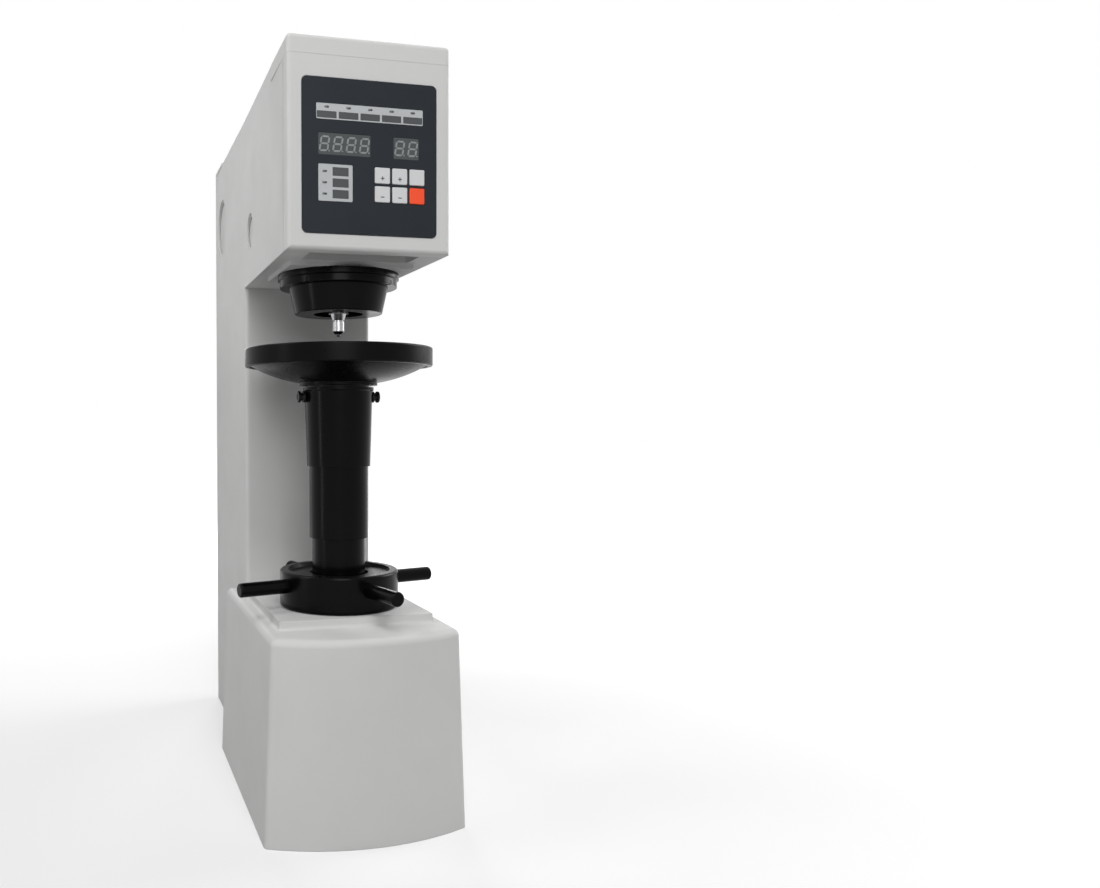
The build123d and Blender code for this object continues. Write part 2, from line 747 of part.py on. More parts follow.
with BuildPart() as guard_flange:
    with BuildSketch(Plane.XZ):
        with BuildLine():
            Polyline(
                (guard_cup_top_radius - guard_cup_wall, flange_bottom_z),
                (guard_flange_radius - guard_step, flange_bottom_z),
                (guard_flange_radius - guard_step, flange_bottom_z + guard_flange_thickness / 2),
                (guard_flange_radius, flange_bottom_z + guard_flange_thickness / 2 + guard_step / 2),
                (guard_flange_radius, boss_bottom_z),
                (bush_radius + guard_step, boss_bottom_z),
                (bush_radius + guard_step, boss_bottom_z - guard_cup_wall),
                (guard_cup_top_radius - guard_cup_wall, boss_bottom_z - guard_cup_wall),
                close=True,
            )
        make_face()
    revolve(axis=Axis.Z)
    with BuildSketch(Plane.XY.offset(flange_bottom_z)):
        with PolarLocations(guard_screw_circle, guard_screw_count, start_angle=guard_screw_angle):
            Circle(guard_screw_head_radius + fit_gap)
    extrude(amount=guard_screw_head_height, mode=Mode.SUBTRACT)
save(guard_flange.part, "guard_flange")

with BuildPart() as guard_screws:
    with BuildSketch(Plane.XY.offset(flange_bottom_z + guard_screw_inset)):
        with PolarLocations(guard_screw_circle, guard_screw_count, start_angle=guard_screw_angle):
            Circle(guard_screw_head_radius)
            RegularPolygon(guard_screw_socket_radius, socket_sides, mode=Mode.SUBTRACT)
    extrude(amount=guard_screw_head_height - guard_screw_inset)
    with BuildSketch(Plane.XY.offset(flange_bottom_z + guard_screw_head_height / 2)):
        with PolarLocations(guard_screw_circle, guard_screw_count, start_angle=guard_screw_angle):
            Circle(guard_screw_head_radius)
    extrude(amount=guard_screw_head_height / 2)
save(guard_screws.part, "guard_screws")

with BuildPart() as guard_cup:
    with BuildSketch(Plane.XZ):
        with BuildLine():
            Polyline(
                (guard_cup_mouth_radius, cup_bottom_z),
                (guard_cup_bottom_radius, cup_bottom_z),
                (guard_cup_top_radius, flange_bottom_z),
                (guard_cup_top_radius - guard_cup_wall, flange_bottom_z),
                (guard_cup_bottom_radius - guard_cup_wall, cup_bottom_z + guard_cup_wall),
                (guard_cup_mouth_radius, cup_bottom_z + guard_cup_wall),
                close=True,
            )
        make_face()
    revolve(axis=Axis.Z)
    cup_foot_edges = guard_cup.edges().filter_by(GeomType.CIRCLE).group_by(Axis.Z)[0]
    cup_bottom_edge = cup_foot_edges.sort_by(SortBy.RADIUS)[-1]
    fillet(cup_bottom_edge, guard_step / 2)
save(guard_cup.part, "guard_cup")

with BuildPart() as spindle_bush:
    with BuildSketch(Plane.XZ):
        with Locations((spindle_radius + spindle_fit, bush_bottom_z)):
            Rectangle(bush_radius - spindle_radius - spindle_fit, bush_length, align=(Align.MIN, Align.MIN))
        with Locations((spindle_radius + spindle_fit, head_floor_z)):
            Rectangle(bush_flange_radius - spindle_radius - spindle_fit, bush_flange_thickness,
                      align=(Align.MIN, Align.MIN))
    revolve(axis=Axis.Z)
save(spindle_bush.part, "spindle_bush")

with BuildPart() as main_spindle:
    with BuildSketch(Plane.XZ):
        with BuildLine():
            Polyline(
                (indenter_shank_radius + shank_fit, spindle_nose_z),
                (spindle_nose_radius, spindle_nose_z),
                (spindle_nose_radius, spindle_nose_z + spindle_nose_length),
                (spindle_radius, spindle_nose_z + spindle_nose_length + spindle_radius - spindle_nose_radius),
                (spindle_radius, spindle_collar_z),
                (spindle_collar_radius, spindle_collar_z),
                (spindle_collar_radius, spindle_collar_z + spindle_collar_thickness),
                (spindle_radius, spindle_collar_z + spindle_collar_thickness),
                (spindle_radius, spindle_top_z),
                (0, spindle_top_z),
                (0, spindle_nose_z + indenter_shank_length + spindle_rest_gap),
                (
                    indenter_shank_radius + shank_fit,
                    spindle_nose_z + indenter_shank_length + spindle_rest_gap,
                ),
                close=True,
            )
        make_face()
    revolve(axis=Axis.Z)
save(main_spindle.part, "main_spindle")

collar_foot_z = spindle_nose_z - indenter_collar_length
neck_foot_z = collar_foot_z - indenter_neck_length
body_foot_z = neck_foot_z - indenter_body_length
ball_center_z = body_foot_z - indenter_cone_length - ball_proud + ball_radius
cone_foot_z = body_foot_z - indenter_cone_length
ball_seat_radius = math.sqrt(ball_radius**2 - (ball_center_z - cone_foot_z) ** 2)
with BuildPart() as indenter_holder:
    with BuildSketch(Plane.XZ):
        with BuildLine():
            Polyline(
                (0, spindle_nose_z + indenter_shank_length),
                (indenter_shank_radius, spindle_nose_z + indenter_shank_length),
                (indenter_shank_radius, spindle_nose_z),
                (indenter_collar_radius, spindle_nose_z),
                (indenter_body_radius, collar_foot_z),
                (indenter_neck_radius, collar_foot_z),
                (indenter_neck_radius, neck_foot_z),
                (indenter_body_radius, neck_foot_z),
                (indenter_body_radius, body_foot_z),
                (ball_seat_radius + ball_seat_wall, cone_foot_z),
                (ball_seat_radius + shank_fit, cone_foot_z),
                (ball_seat_radius + shank_fit, ball_center_z + ball_radius + shank_fit),
                (0, ball_center_z + ball_radius + shank_fit),
                close=True,
            )
        make_face()
    revolve(axis=Axis.Z)
save(indenter_holder.part, "indenter_holder")

with BuildPart() as indenter_ball:
    with Locations((0, 0, ball_center_z)):
        Sphere(ball_radius)
save(indenter_ball.part, "indenter_ball")

spring_radius = spindle_radius + spring_clearance + spring_wire_radius
spring_foot_z = spindle_collar_z + spindle_collar_thickness + spring_wire_radius
spring_rise = spring_height - 2 * spring_wire_radius
with BuildPart() as spindle_spring:
    with BuildLine() as coil:
        Helix(spring_rise / spring_turns, spring_rise, spring_radius, center=(0, 0, spring_foot_z))
    with BuildSketch(Plane(origin=coil.line @ 0, z_dir=coil.line % 0)):
        Circle(spring_wire_radius)
    sweep()
save(spindle_spring.part, "spindle_spring")


# ---------------------------------------------------------------- lever train
cheek_outer = lever_bracket_inner + lever_bracket_plate
bracket_foot_width = column_half_width - casting_wall - bracket_foot_clearance - cheek_outer
bracket_center_y = (lever_bracket_rear - lever_bracket_front) / 2
cheek_top_z = pivot_z + pivot_boss_radius
bridge_top_z = bridge_bottom_z + lever_bracket_plate
with BuildPart() as lever_bracket:
    for side in (-1, 1):
        with BuildSketch(Plane.YZ.offset(side * lever_bracket_inner)) as cheek:
            Polygon(
                (-lever_bracket_front, head_floor_z),
                (lever_bracket_rear, head_floor_z),
                (lever_bracket_rear, bridge_top_z),
                (pivot_y + pivot_boss_radius, cheek_top_z),
                (-lever_bracket_front, cheek_top_z),
                align=None,
            )
            # One foot corner of each cheek is square, at opposite ends on the two sides
            square_end = -lever_bracket_front if side > 0 else lever_bracket_rear
            fillet(cheek.vertices().sort_by_distance((square_end, head_floor_z))[1:], lever_bracket_plate)
            with Locations((pivot_y, pivot_z)):
                Circle(pivot_radius + pivot_fit, mode=Mode.SUBTRACT)
        extrude(amount=side * lever_bracket_plate)
        with BuildSketch(Plane.XY.offset(head_floor_z)):
            with Locations((side * (cheek_outer + bracket_foot_width / 2), bracket_center_y)):
                Rectangle(bracket_foot_width, lever_bracket_rear + lever_bracket_front)
        extrude(amount=lever_bracket_plate)
    with BuildSketch(Plane.XY.offset(bridge_bottom_z)):
        Rectangle(2 * lever_bracket_inner, 2 * spindle_collar_radius)
        Circle(spindle_radius + spring_clearance, mode=Mode.SUBTRACT)
    extrude(amount=lever_bracket_plate)
save(lever_bracket.part, "lever_bracket")

with BuildPart() as lever_pivot_pin:
    with BuildSketch(Plane.YZ.offset(-cheek_outer - pivot_head_thickness)):
        with Locations((pivot_y, pivot_z)):
            Circle(pivot_radius)
    extrude(amount=2 * (cheek_outer + pivot_head_thickness))
    for side in (-1, 1):
        with BuildSketch(Plane.YZ.offset(side * cheek_outer)):
            with Locations((pivot_y, pivot_z)):
                Circle(pivot_head_radius)
        extrude(amount=side * pivot_head_thickness)
save(lever_pivot_pin.part, "lever_pivot_pin")

load_axis_y = pivot_y + load_arm
lever_end_y = load_axis_y + lever_tail
with BuildPart() as load_lever:
    with BuildSketch(Plane.YZ.offset(-lever_width / 2)) as lever_side:
        Polygon(
            (pivot_y, lever_foot_z),
            (lever_pad_radius * 2, lever_foot_z),
            (lever_end_y, pivot_z - lever_depth_rear / 2),
            (lever_end_y, pivot_z + lever_depth_rear / 2),
            (pivot_y, pivot_z + lever_depth_front / 2),
            align=None,
        )
        fillet(lever_side.vertices().sort_by(Axis.Y)[-2:], lever_end_radius)
        with Locations((load_axis_y, pivot_z)):
            Circle(link_pin_radius + link_pin_play, mode=Mode.SUBTRACT)
    extrude(amount=lever_width)
    with BuildSketch(Plane.YZ.offset(-(lever_bracket_inner - link_play))):
        with Locations((pivot_y, pivot_z)):
            Circle(pivot_boss_radius)
    extrude(amount=2 * (lever_bracket_inner - link_play))
    with BuildSketch(Plane.XY.offset(lever_pad_z)):
        Circle(lever_pad_radius)
    extrude(amount=lever_foot_z - lever_pad_z + lever_pad_radius / 2)
    with BuildSketch(Plane.YZ.offset(-lever_bracket_inner)):
        with Locations((pivot_y, pivot_z)):
            Circle(pivot_radius + pivot_fit)
    extrude(amount=2 * lever_bracket_inner, mode=Mode.SUBTRACT)
save(load_lever.part, "load_lever")

link_inner = lever_width / 2 + link_play
link_outer = link_inner + link_plate
link_foot_z = pivot_z - link_height - link_plate
with BuildPart() as pull_link:
    with BuildSketch(Plane.YZ.offset(-link_outer)) as link_side:
        with Locations((load_axis_y, link_foot_z)):
            Rectangle(link_width, pivot_z + link_width / 2 - link_foot_z, align=(Align.CENTER, Align.MIN))
        fillet(link_side.vertices().sort_by(Axis.Y.reverse()).sort_by(Axis.Z)[-2:], link_corner_radius)
    extrude(amount=2 * link_outer)
    with BuildSketch(Plane.YZ.offset(-link_inner)):
        with Locations((load_axis_y, link_foot_z + link_plate)):
            Rectangle(link_width, pivot_z + link_width - link_foot_z, align=(Align.CENTER, Align.MIN))
    extrude(amount=2 * link_inner, mode=Mode.SUBTRACT)
    with BuildSketch(Plane.YZ.offset(-link_outer - link_plate / 2)):
        with Locations((load_axis_y, pivot_z)):
            Circle(link_pin_radius)
    extrude(amount=2 * link_outer + link_plate)
save(pull_link.part, "pull_link")

cell_foot_z = link_foot_z - cell_height
with BuildPart() as load_cell:
    with BuildSketch(Plane.XZ.offset(-load_axis_y - cell_thickness / 2)):
        with Locations((0, cell_foot_z + cell_height / 2)):
            Rectangle(cell_width, cell_height)
            with Locations((-cell_slot, cell_height / 4 - cell_slot / 2)):
                Rectangle(cell_width - cell_slot, cell_slot, mode=Mode.SUBTRACT)
            with Locations((cell_slot, -cell_height / 4 + cell_slot / 2)):
                Rectangle(cell_width - cell_slot, cell_slot, mode=Mode.SUBTRACT)
            Circle(cell_slot, mode=Mode.SUBTRACT)
    extrude(amount=cell_thickness)
save(load_cell.part, "load_cell")

nut_foot_z = cell_foot_z - nut_length
with BuildPart() as load_nut:
    with BuildSketch(Plane.XY.offset(nut_foot_z)):
        with Locations((0, load_axis_y)):
            Circle(nut_radius)
            Circle(load_screw_radius + load_screw_fit, mode=Mode.SUBTRACT)
    extrude(amount=nut_length)
save(load_nut.part, "load_nut")

load_screw_top_z = cell_foot_z - load_travel - load_screw_end_gap
shelf_top_z = load_screw_top_z - load_screw_length
with BuildPart() as load_screw:
    with BuildSketch(Plane.XY.offset(shelf_top_z + spindle_rest_gap)):
        with Locations((0, load_axis_y)):
            Circle(coupling_radius)
    extrude(amount=coupling_length)
    with BuildSketch(Plane.XY.offset(shelf_top_z + coupling_length)):
        with Locations((0, load_axis_y)):
            Circle(load_screw_radius)
    extrude(amount=load_screw_length - coupling_length)
save(load_screw.part, "load_screw")

shelf_bottom_z = shelf_top_z - shelf_thickness
shelf_rear_y = load_axis_y + gearbox_half_width + shelf_plate
with BuildPart() as motor_shelf:
    with BuildSketch(Plane.YZ.offset(-shelf_half_width)):
        Polygon(
            (column_front_inner, shelf_top_z),
            (shelf_rear_y, shelf_top_z),
            (shelf_rear_y, shelf_bottom_z),
            (column_front_inner + shelf_plate, shelf_bottom_z),
            (column_front_inner + shelf_plate, shelf_top_z - shelf_drop),
            (column_front_inner, shelf_top_z - shelf_drop),
            align=None,
        )
    extrude(amount=2 * shelf_half_width)
    for side in (-1, 1):
        with BuildSketch(Plane.YZ.offset(side * shelf_half_width)):
            Polygon(
                (column_front_inner, shelf_top_z),
                (shelf_rear_y, shelf_top_z),
                (shelf_rear_y, shelf_bottom_z),
                (column_front_inner + shelf_plate, shelf_top_z - shelf_drop),
                (column_front_inner, shelf_top_z - shelf_drop),
                align=None,
            )
        extrude(amount=-side * shelf_plate / 2)
    with BuildSketch(Plane.XY.offset(shelf_bottom_z)):
        with Locations((0, load_axis_y)):
            Circle(load_screw_radius + fit_gap)
    extrude(amount=shelf_thickness, mode=Mode.SUBTRACT)
save(motor_shelf.part, "motor_shelf")

with BuildPart() as load_motor:
    with BuildSketch(Plane.XY.offset(shelf_bottom_z - gearbox_length)):
        with Locations((0, load_axis_y)):
            RectangleRounded(2 * gearbox_half_width, 2 * gearbox_half_width, gearbox_half_width / 6)
    extrude(amount=gearbox_length)
    with BuildSketch(Plane.XY.offset(shelf_bottom_z - gearbox_length - motor_length)):
        with Locations((0, load_axis_y)):
            Circle(motor_radius)
    extrude(amount=motor_length)
    motor_end_edge = load_motor.faces().sort_by(Axis.Z)[0].edges()
    fillet(motor_end_edge, motor_edge_radius)
    with BuildSketch(Plane.XY.offset(shelf_bottom_z)):
        with Locations((0, load_axis_y)):
            Circle(load_screw_radius)
    extrude(amount=shelf_thickness)
save(load_motor.part, "load_motor")


# ---------------------------------------------------------------- elevating gear
anvil_seat_z = anvil_top_z - anvil_height
screw_bottom_z = anvil_seat_z - screw_length
hub_bottom_z = plinth_top_z + bearing_play
hub_top_z = hub_bottom_z + hub_height
nut_top_z = hub_top_z - hub_socket_depth
guide_top_z = base_height - casting_wall

with BuildPart() as elevating_screw:
    with BuildSketch(Plane.XY.offset(screw_bottom_z)):
        Circle(screw_radius)
    extrude(amount=screw_length)
    with BuildSketch(Plane.XY.offset(anvil_seat_z - screw_head_length)):
        Circle(screw_head_radius)
    extrude(amount=screw_head_length)
    with BuildSketch(Plane.XY.offset(anvil_seat_z - anvil_shank_length - anvil_shank_play)):
        Circle(anvil_shank_radius + anvil_shank_fit)
    extrude(amount=anvil_shank_length + anvil_shank_play, mode=Mode.SUBTRACT)
    with BuildSketch(Plane.XY.offset(screw_bottom_z)):
        with Locations((0, screw_radius)):
            Rectangle(keyway_width, 2 * keyway_depth)
    extrude(amount=keyway_length, mode=Mode.SUBTRACT)
    chamfer(elevating_screw.faces().sort_by(Axis.Z)[0].edges().filter_by(GeomType.CIRCLE), screw_foot_chamfer)
save(elevating_screw.part, "elevating_screw")

with BuildPart() as screw_guide:
    with BuildSketch(Plane.XY.offset(guide_top_z - guide_length)):
        Circle(guide_radius + guide_flange)
        Circle(screw_radius + guide_play, mode=Mode.SUBTRACT)
        with Locations((0, screw_radius + guide_play)):
            Rectangle(keyway_width - 2 * key_fit, 2 * (keyway_depth - key_fit))
    extrude(amount=guide_length)
save(screw_guide.part, "screw_guide")

with BuildPart() as thrust_bearing:
    with BuildSketch(Plane.XZ):
        race_width = bearing_outer_radius - bearing_inner_radius
        cage_height = hub_bottom_z - base_height - 2 * bearing_race
        with Locations((bearing_inner_radius, base_height)):
            Rectangle(race_width, bearing_race, align=(Align.MIN, Align.MIN))
        with Locations((bearing_inner_radius, hub_bottom_z - bearing_race)):
            Rectangle(race_width, bearing_race, align=(Align.MIN, Align.MIN))
        with Locations((bearing_inner_radius + race_width / 4, base_height + bearing_race)):
            Rectangle(race_width / 2, cage_height, align=(Align.MIN, Align.MIN))
    revolve(axis=Axis.Z)
save(thrust_bearing.part, "thrust_bearing")

with BuildPart() as handwheel_hub:
    with BuildSketch(Plane.XZ):
        with BuildLine():
            Polyline(
                (elevating_nut_radius + nut_seat_gap, hub_bottom_z),
                (hub_radius, hub_bottom_z),
                (hub_radius, hub_top_z),
                (hub_lip_inner, hub_top_z),
                (hub_lip_inner - hub_dish_depth, hub_top_z - hub_dish_depth),
                (nut_flange_radius + nut_seat_gap, hub_top_z - hub_dish_depth),
                (nut_flange_radius + nut_seat_gap, nut_top_z - nut_flange_thickness),
                (elevating_nut_radius + nut_seat_gap, nut_top_z - nut_flange_thickness),
                close=True,
            )
        make_face()
    revolve(axis=Axis.Z)
    hub_rims = handwheel_hub.edges().filter_by(GeomType.CIRCLE).sort_by(SortBy.RADIUS)[-2:]
    fillet(hub_rims, hub_edge_radius)
    for index in range(handle_count):
        handle_plane = Plane.XY.offset(hub_bottom_z + handle_height).rotated((0, 0, handle_angle(index)))
        with BuildSketch(Plane(origin=handle_plane.from_local_coords((handle_socket_radius, 0, 0)),
                               z_dir=handle_plane.x_dir)):
            Circle(handle_radius + handle_fit)
        extrude(amount=hub_radius, mode=Mode.SUBTRACT)
save(handwheel_hub.part, "handwheel_hub")

with BuildPart() as elevating_nut:
    with BuildSketch(Plane.XZ):
        with Locations((screw_radius + screw_fit, nut_top_z - elevating_nut_length)):
            Rectangle(elevating_nut_radius - screw_radius - screw_fit, elevating_nut_length,
                      align=(Align.MIN, Align.MIN))
        with Locations((screw_radius + screw_fit, nut_top_z - nut_flange_thickness)):
            Rectangle(nut_flange_radius - screw_radius - screw_fit, nut_flange_thickness,
                      align=(Align.MIN, Align.MIN))
    revolve(axis=Axis.Z)
save(elevating_nut.part, "elevating_nut")

for index in range(handle_count):
    handle_plane = Plane.XY.offset(hub_bottom_z + handle_height).rotated((0, 0, handle_angle(index)))
    with BuildPart() as handle:
        with BuildSketch(Plane(origin=handle_plane.from_local_coords((handle_socket_radius, 0, 0)),
                               z_dir=handle_plane.x_dir)):
            Circle(handle_radius)
        extrude(amount=handle_reach - handle_socket_radius)
        handle_tip = handle.faces().sort_by(Axis((0, 0, 0), handle_plane.x_dir))[-1]
        fillet(handle_tip.edges(), handle_end_radius)
    save(handle.part, f"handle_{index + 1}")


# ---------------------------------------------------------------- screw guard and anvil
upper_tube_top_z = anvil_seat_z - guard_top_gap
upper_tube_bottom_z = upper_tube_top_z - upper_tube_length
thumb_screw_z = anvil_seat_z - thumb_screw_drop
thumb_seat_x = upper_tube_top_radius + thumb_screw_shaft_play

with BuildPart() as lower_guard_tube:
    with BuildSketch(Plane.XZ):
        with Locations((lower_tube_radius - lower_tube_wall, nut_top_z)):
            Rectangle(lower_tube_wall, lower_tube_length, align=(Align.MIN, Align.MIN))
    revolve(axis=Axis.Z)
save(lower_guard_tube.part, "lower_guard_tube")

middle_tube_top_z = upper_tube_bottom_z + tube_overlap_upper
middle_tube_bottom_z = nut_top_z + lower_tube_length - tube_overlap_lower
with BuildPart() as middle_guard_tube:
    with BuildSketch(Plane.XZ):
        with Locations((middle_tube_radius - middle_tube_wall, middle_tube_bottom_z)):
            Rectangle(
                middle_tube_wall, middle_tube_top_z - middle_tube_bottom_z, align=(Align.MIN, Align.MIN)
            )
        with Locations((lower_tube_radius + tube_play, middle_tube_bottom_z)):
            Rectangle(
                middle_tube_radius - lower_tube_radius - tube_play, tube_bead, align=(Align.MIN, Align.MIN)
            )
        with Locations((upper_tube_bore - tube_play, middle_tube_top_z)):
            Rectangle(upper_tube_bore - tube_play - middle_tube_radius + middle_tube_wall, tube_bead,
                      align=(Align.MAX, Align.MAX))
    revolve(axis=Axis.Z)
save(middle_guard_tube.part, "middle_guard_tube")

with BuildPart() as upper_guard_tube:
    with BuildSketch(Plane.XZ):
        with BuildLine():
            Polyline(
                (upper_tube_bore, upper_tube_bottom_z),
                (upper_tube_bottom_radius, upper_tube_bottom_z),
                (upper_tube_top_radius, upper_tube_top_z - upper_tube_lip_height - guard_step / 2),
                (upper_tube_lip_radius, upper_tube_top_z - upper_tube_lip_height),
                (upper_tube_lip_radius, upper_tube_top_z),
                (upper_tube_bore, upper_tube_top_z),
                close=True,
            )
        make_face()
    revolve(axis=Axis.Z)
    with BuildSketch(Plane.YZ.offset(-upper_tube_lip_radius)):
        with Locations((0, thumb_screw_z)):
            Circle(thumb_screw_shaft_radius + thumb_screw_shaft_play)
    extrude(amount=2 * upper_tube_lip_radius, mode=Mode.SUBTRACT)
save(upper_guard_tube.part, "upper_guard_tube")

for name, side in (("thumb_screw_left", -1), ("thumb_screw_right", 1)):
    with BuildPart() as thumb_screw:
        with BuildSketch(Plane.YZ.offset(side * (screw_head_radius + thumb_screw_shaft_play))):
            with Locations((0, thumb_screw_z)):
                Circle(thumb_screw_shaft_radius)
        extrude(amount=side * (thumb_seat_x - screw_head_radius))
        with BuildSketch(Plane.YZ.offset(side * thumb_seat_x)):
            with Locations((0, thumb_screw_z)):
                Circle(thumb_screw_waist_radius)
        extrude(amount=side * thumb_screw_head_length)
        for start in (0, 2 * thumb_screw_head_length / 3):
            with BuildSketch(Plane.YZ.offset(side * (thumb_seat_x + start))):
                with Locations((0, thumb_screw_z)):
                    Circle(thumb_screw_head_radius)
            extrude(amount=side * thumb_screw_head_length / 3)
        thumb_rims = thumb_screw.edges().filter_by(GeomType.CIRCLE).filter_by(
            lambda edge: abs(edge.radius - thumb_screw_head_radius) < pick_margin)
        fillet(thumb_rims, thumb_screw_head_length / 12)
    save(thumb_screw.part, name)

anvil_flare_radius = anvil_radius - anvil_flare_inset
flare_top_z = anvil_top_z - anvil_rim + anvil_lip_depth
flare_foot_z = anvil_seat_z + anvil_hub_band
with BuildPart() as anvil:
    with BuildSketch(Plane.XZ):
        with BuildLine():
            Polyline(
                (anvil_flare_radius, flare_top_z),
                (anvil_radius - anvil_lip_width, flare_top_z),
                (anvil_radius - anvil_lip_width, anvil_top_z - anvil_rim),
                (anvil_radius, anvil_top_z - anvil_rim),
                (anvil_radius, anvil_top_z),
                (0, anvil_top_z),
                (0, anvil_seat_z - anvil_shank_length),
                (anvil_shank_radius, anvil_seat_z - anvil_shank_length),
                (anvil_shank_radius, anvil_seat_z),
                (anvil_hub_radius, anvil_seat_z),
                (anvil_hub_radius, flare_foot_z),
            )
            ThreePointArc(
                (anvil_hub_radius, flare_foot_z),
                (
                    (anvil_hub_radius + anvil_flare_radius) / 2,
                    (flare_foot_z + flare_top_z) / 2 - anvil_flare_sag,
                ),
                (anvil_flare_radius, flare_top_z),
            )
        make_face()
    revolve(axis=Axis.Z)
    anvil_rims = anvil.edges().filter_by(GeomType.CIRCLE).filter_by(
        lambda edge: abs(edge.radius - anvil_radius) < pick_margin)
    fillet(anvil_rims, anvil_edge_radius)
    for radius in anvil_ring_radii:
        with BuildSketch(Plane.XY.offset(anvil_top_z)):
            Circle(radius + anvil_ring_width / 2)
            Circle(radius - anvil_ring_width / 2, mode=Mode.SUBTRACT)
        extrude(amount=-anvil_ring_depth, mode=Mode.SUBTRACT)
save(anvil.part, "anvil")


# ---------------------------------------------------------------- electrical parts
supply_width, supply_length, supply_height = supply_size
supply_center_y = base_rear - casting_wall - supply_gap - supply_length / 2
with BuildPart() as power_supply:
    with BuildSketch(Plane.XY.offset(floor_web)):
        with Locations((0, supply_center_y)):
            Rectangle(supply_width, supply_core_length)
    extrude(amount=supply_height)
    with BuildSketch(Plane.XY.offset(floor_web + supply_coil_rise)):
        with Locations((0, supply_center_y)):
            RectangleRounded(supply_coil_width, supply_length, supply_coil_corner)
    extrude(amount=supply_coil_height)
save(power_supply.part, "power_supply")


def mains_plane(x, y):
    """Plane on the back of the machine at one depth, seen from behind, centred on a mains part."""
    return Plane(origin=(x, y, switch_z), x_dir=(1, 0, 0), z_dir=(0, -1, 0))


rocker_axis_y = rear_cover_outer_y - rocker_axis_depth + switch_bezel_thickness
rocker_width = switch_cutout[0] - 2 * switch_wall - 2 * fit_gap
with BuildPart() as switch_housing:
    with BuildSketch(mains_plane(switch_x, rear_cover_outer_y + switch_bezel_thickness)):
        RectangleRounded(switch_bezel[0], switch_bezel[1], switch_wall)
    extrude(amount=switch_bezel_thickness)
    with BuildSketch(mains_plane(switch_x, rear_cover_outer_y)):
        Rectangle(switch_cutout[0], switch_cutout[1])
    extrude(amount=switch_depth)
    with BuildSketch(mains_plane(switch_x, rear_cover_outer_y + switch_bezel_thickness)):
        Rectangle(switch_cutout[0] - 2 * switch_wall, 2 * (rocker_radius + key_fit))
    extrude(amount=rocker_axis_depth + rocker_radius + key_fit, mode=Mode.SUBTRACT)
save(switch_housing.part, "switch_housing")

with BuildPart() as switch_rocker:
    with BuildSketch(Plane.YZ.offset(switch_x - rocker_width / 2)):
        with Locations((rocker_axis_y, switch_z)):
            Circle(rocker_radius)
            with Locations(Location((0, 0, 0), (0, 0, rocker_angle))):
                with Locations((rocker_face, 0)):
                    Rectangle(
                        rocker_radius, 3 * rocker_radius, align=(Align.MIN, Align.CENTER), mode=Mode.SUBTRACT
                    )
    extrude(amount=rocker_width)
save(switch_rocker.part, "switch_rocker")

inlet_face_y = rear_cover_outer_y + inlet_bezel_thickness
inlet_floor_y = inlet_face_y - inlet_depth
with BuildPart() as power_inlet:
    with BuildSketch(mains_plane(inlet_x, inlet_face_y)):
        RectangleRounded(inlet_bezel[0], inlet_bezel[1], inlet_bezel_thickness)
    extrude(amount=inlet_bezel_thickness)
    with BuildSketch(mains_plane(inlet_x, rear_cover_outer_y)):
        Rectangle(inlet_cutout[0], inlet_cutout[1])
    extrude(amount=inlet_depth)
    with BuildSketch(mains_plane(inlet_x, inlet_face_y)) as inlet_mouth:
        Rectangle(inlet_cavity[0], inlet_cavity[1])
        chamfer(inlet_mouth.vertices().sort_by(Axis.Y)[:2], inlet_key_chamfer)
    extrude(amount=inlet_depth, mode=Mode.SUBTRACT)
save(power_inlet.part, "power_inlet")

with BuildPart() as inlet_pins:
    with BuildSketch(mains_plane(inlet_x, inlet_floor_y + inlet_pin_length)):
        with Locations(
            (-inlet_pin_pitch, -inlet_pin_drop), (0, inlet_pin_drop), (inlet_pin_pitch, -inlet_pin_drop)
        ):
            Rectangle(inlet_pin[1], inlet_pin[0])
    extrude(amount=inlet_pin_length)
save(inlet_pins.part, "inlet_pins")

with BuildPart() as fuse_holder:
    with BuildSketch(mains_plane(fuse_x, rear_cover_outer_y + fuse_cap_length)):
        Circle(fuse_cap_radius)
    extrude(amount=fuse_cap_length)
    chamfer(fuse_holder.faces().sort_by(Axis.Y)[-1].edges(), fuse_cap_chamfer)
    with BuildSketch(mains_plane(fuse_x, rear_cover_outer_y + fuse_cap_length)):
        Rectangle(2 * fuse_radius, fuse_slot_width)
    extrude(amount=fuse_slot_width, mode=Mode.SUBTRACT)
    with BuildSketch(mains_plane(fuse_x, rear_cover_outer_y)):
        Circle(fuse_radius)
    extrude(amount=fuse_depth)
save(fuse_holder.part, "fuse_holder")
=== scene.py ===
"""Looks of a bench hardness tester: finishes, printed and turned detail, camera and studio.

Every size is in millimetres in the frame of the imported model, with the spindle axis at
X = Y = 0, the bench top at Z = 0 and the operator at -Y. Meshes are made in metres.
"""

import logging
import math
from dataclasses import dataclass
from enum import Enum
from typing import Callable, Iterable, Sequence

import bmesh
import bpy
from mathutils import Matrix, Vector


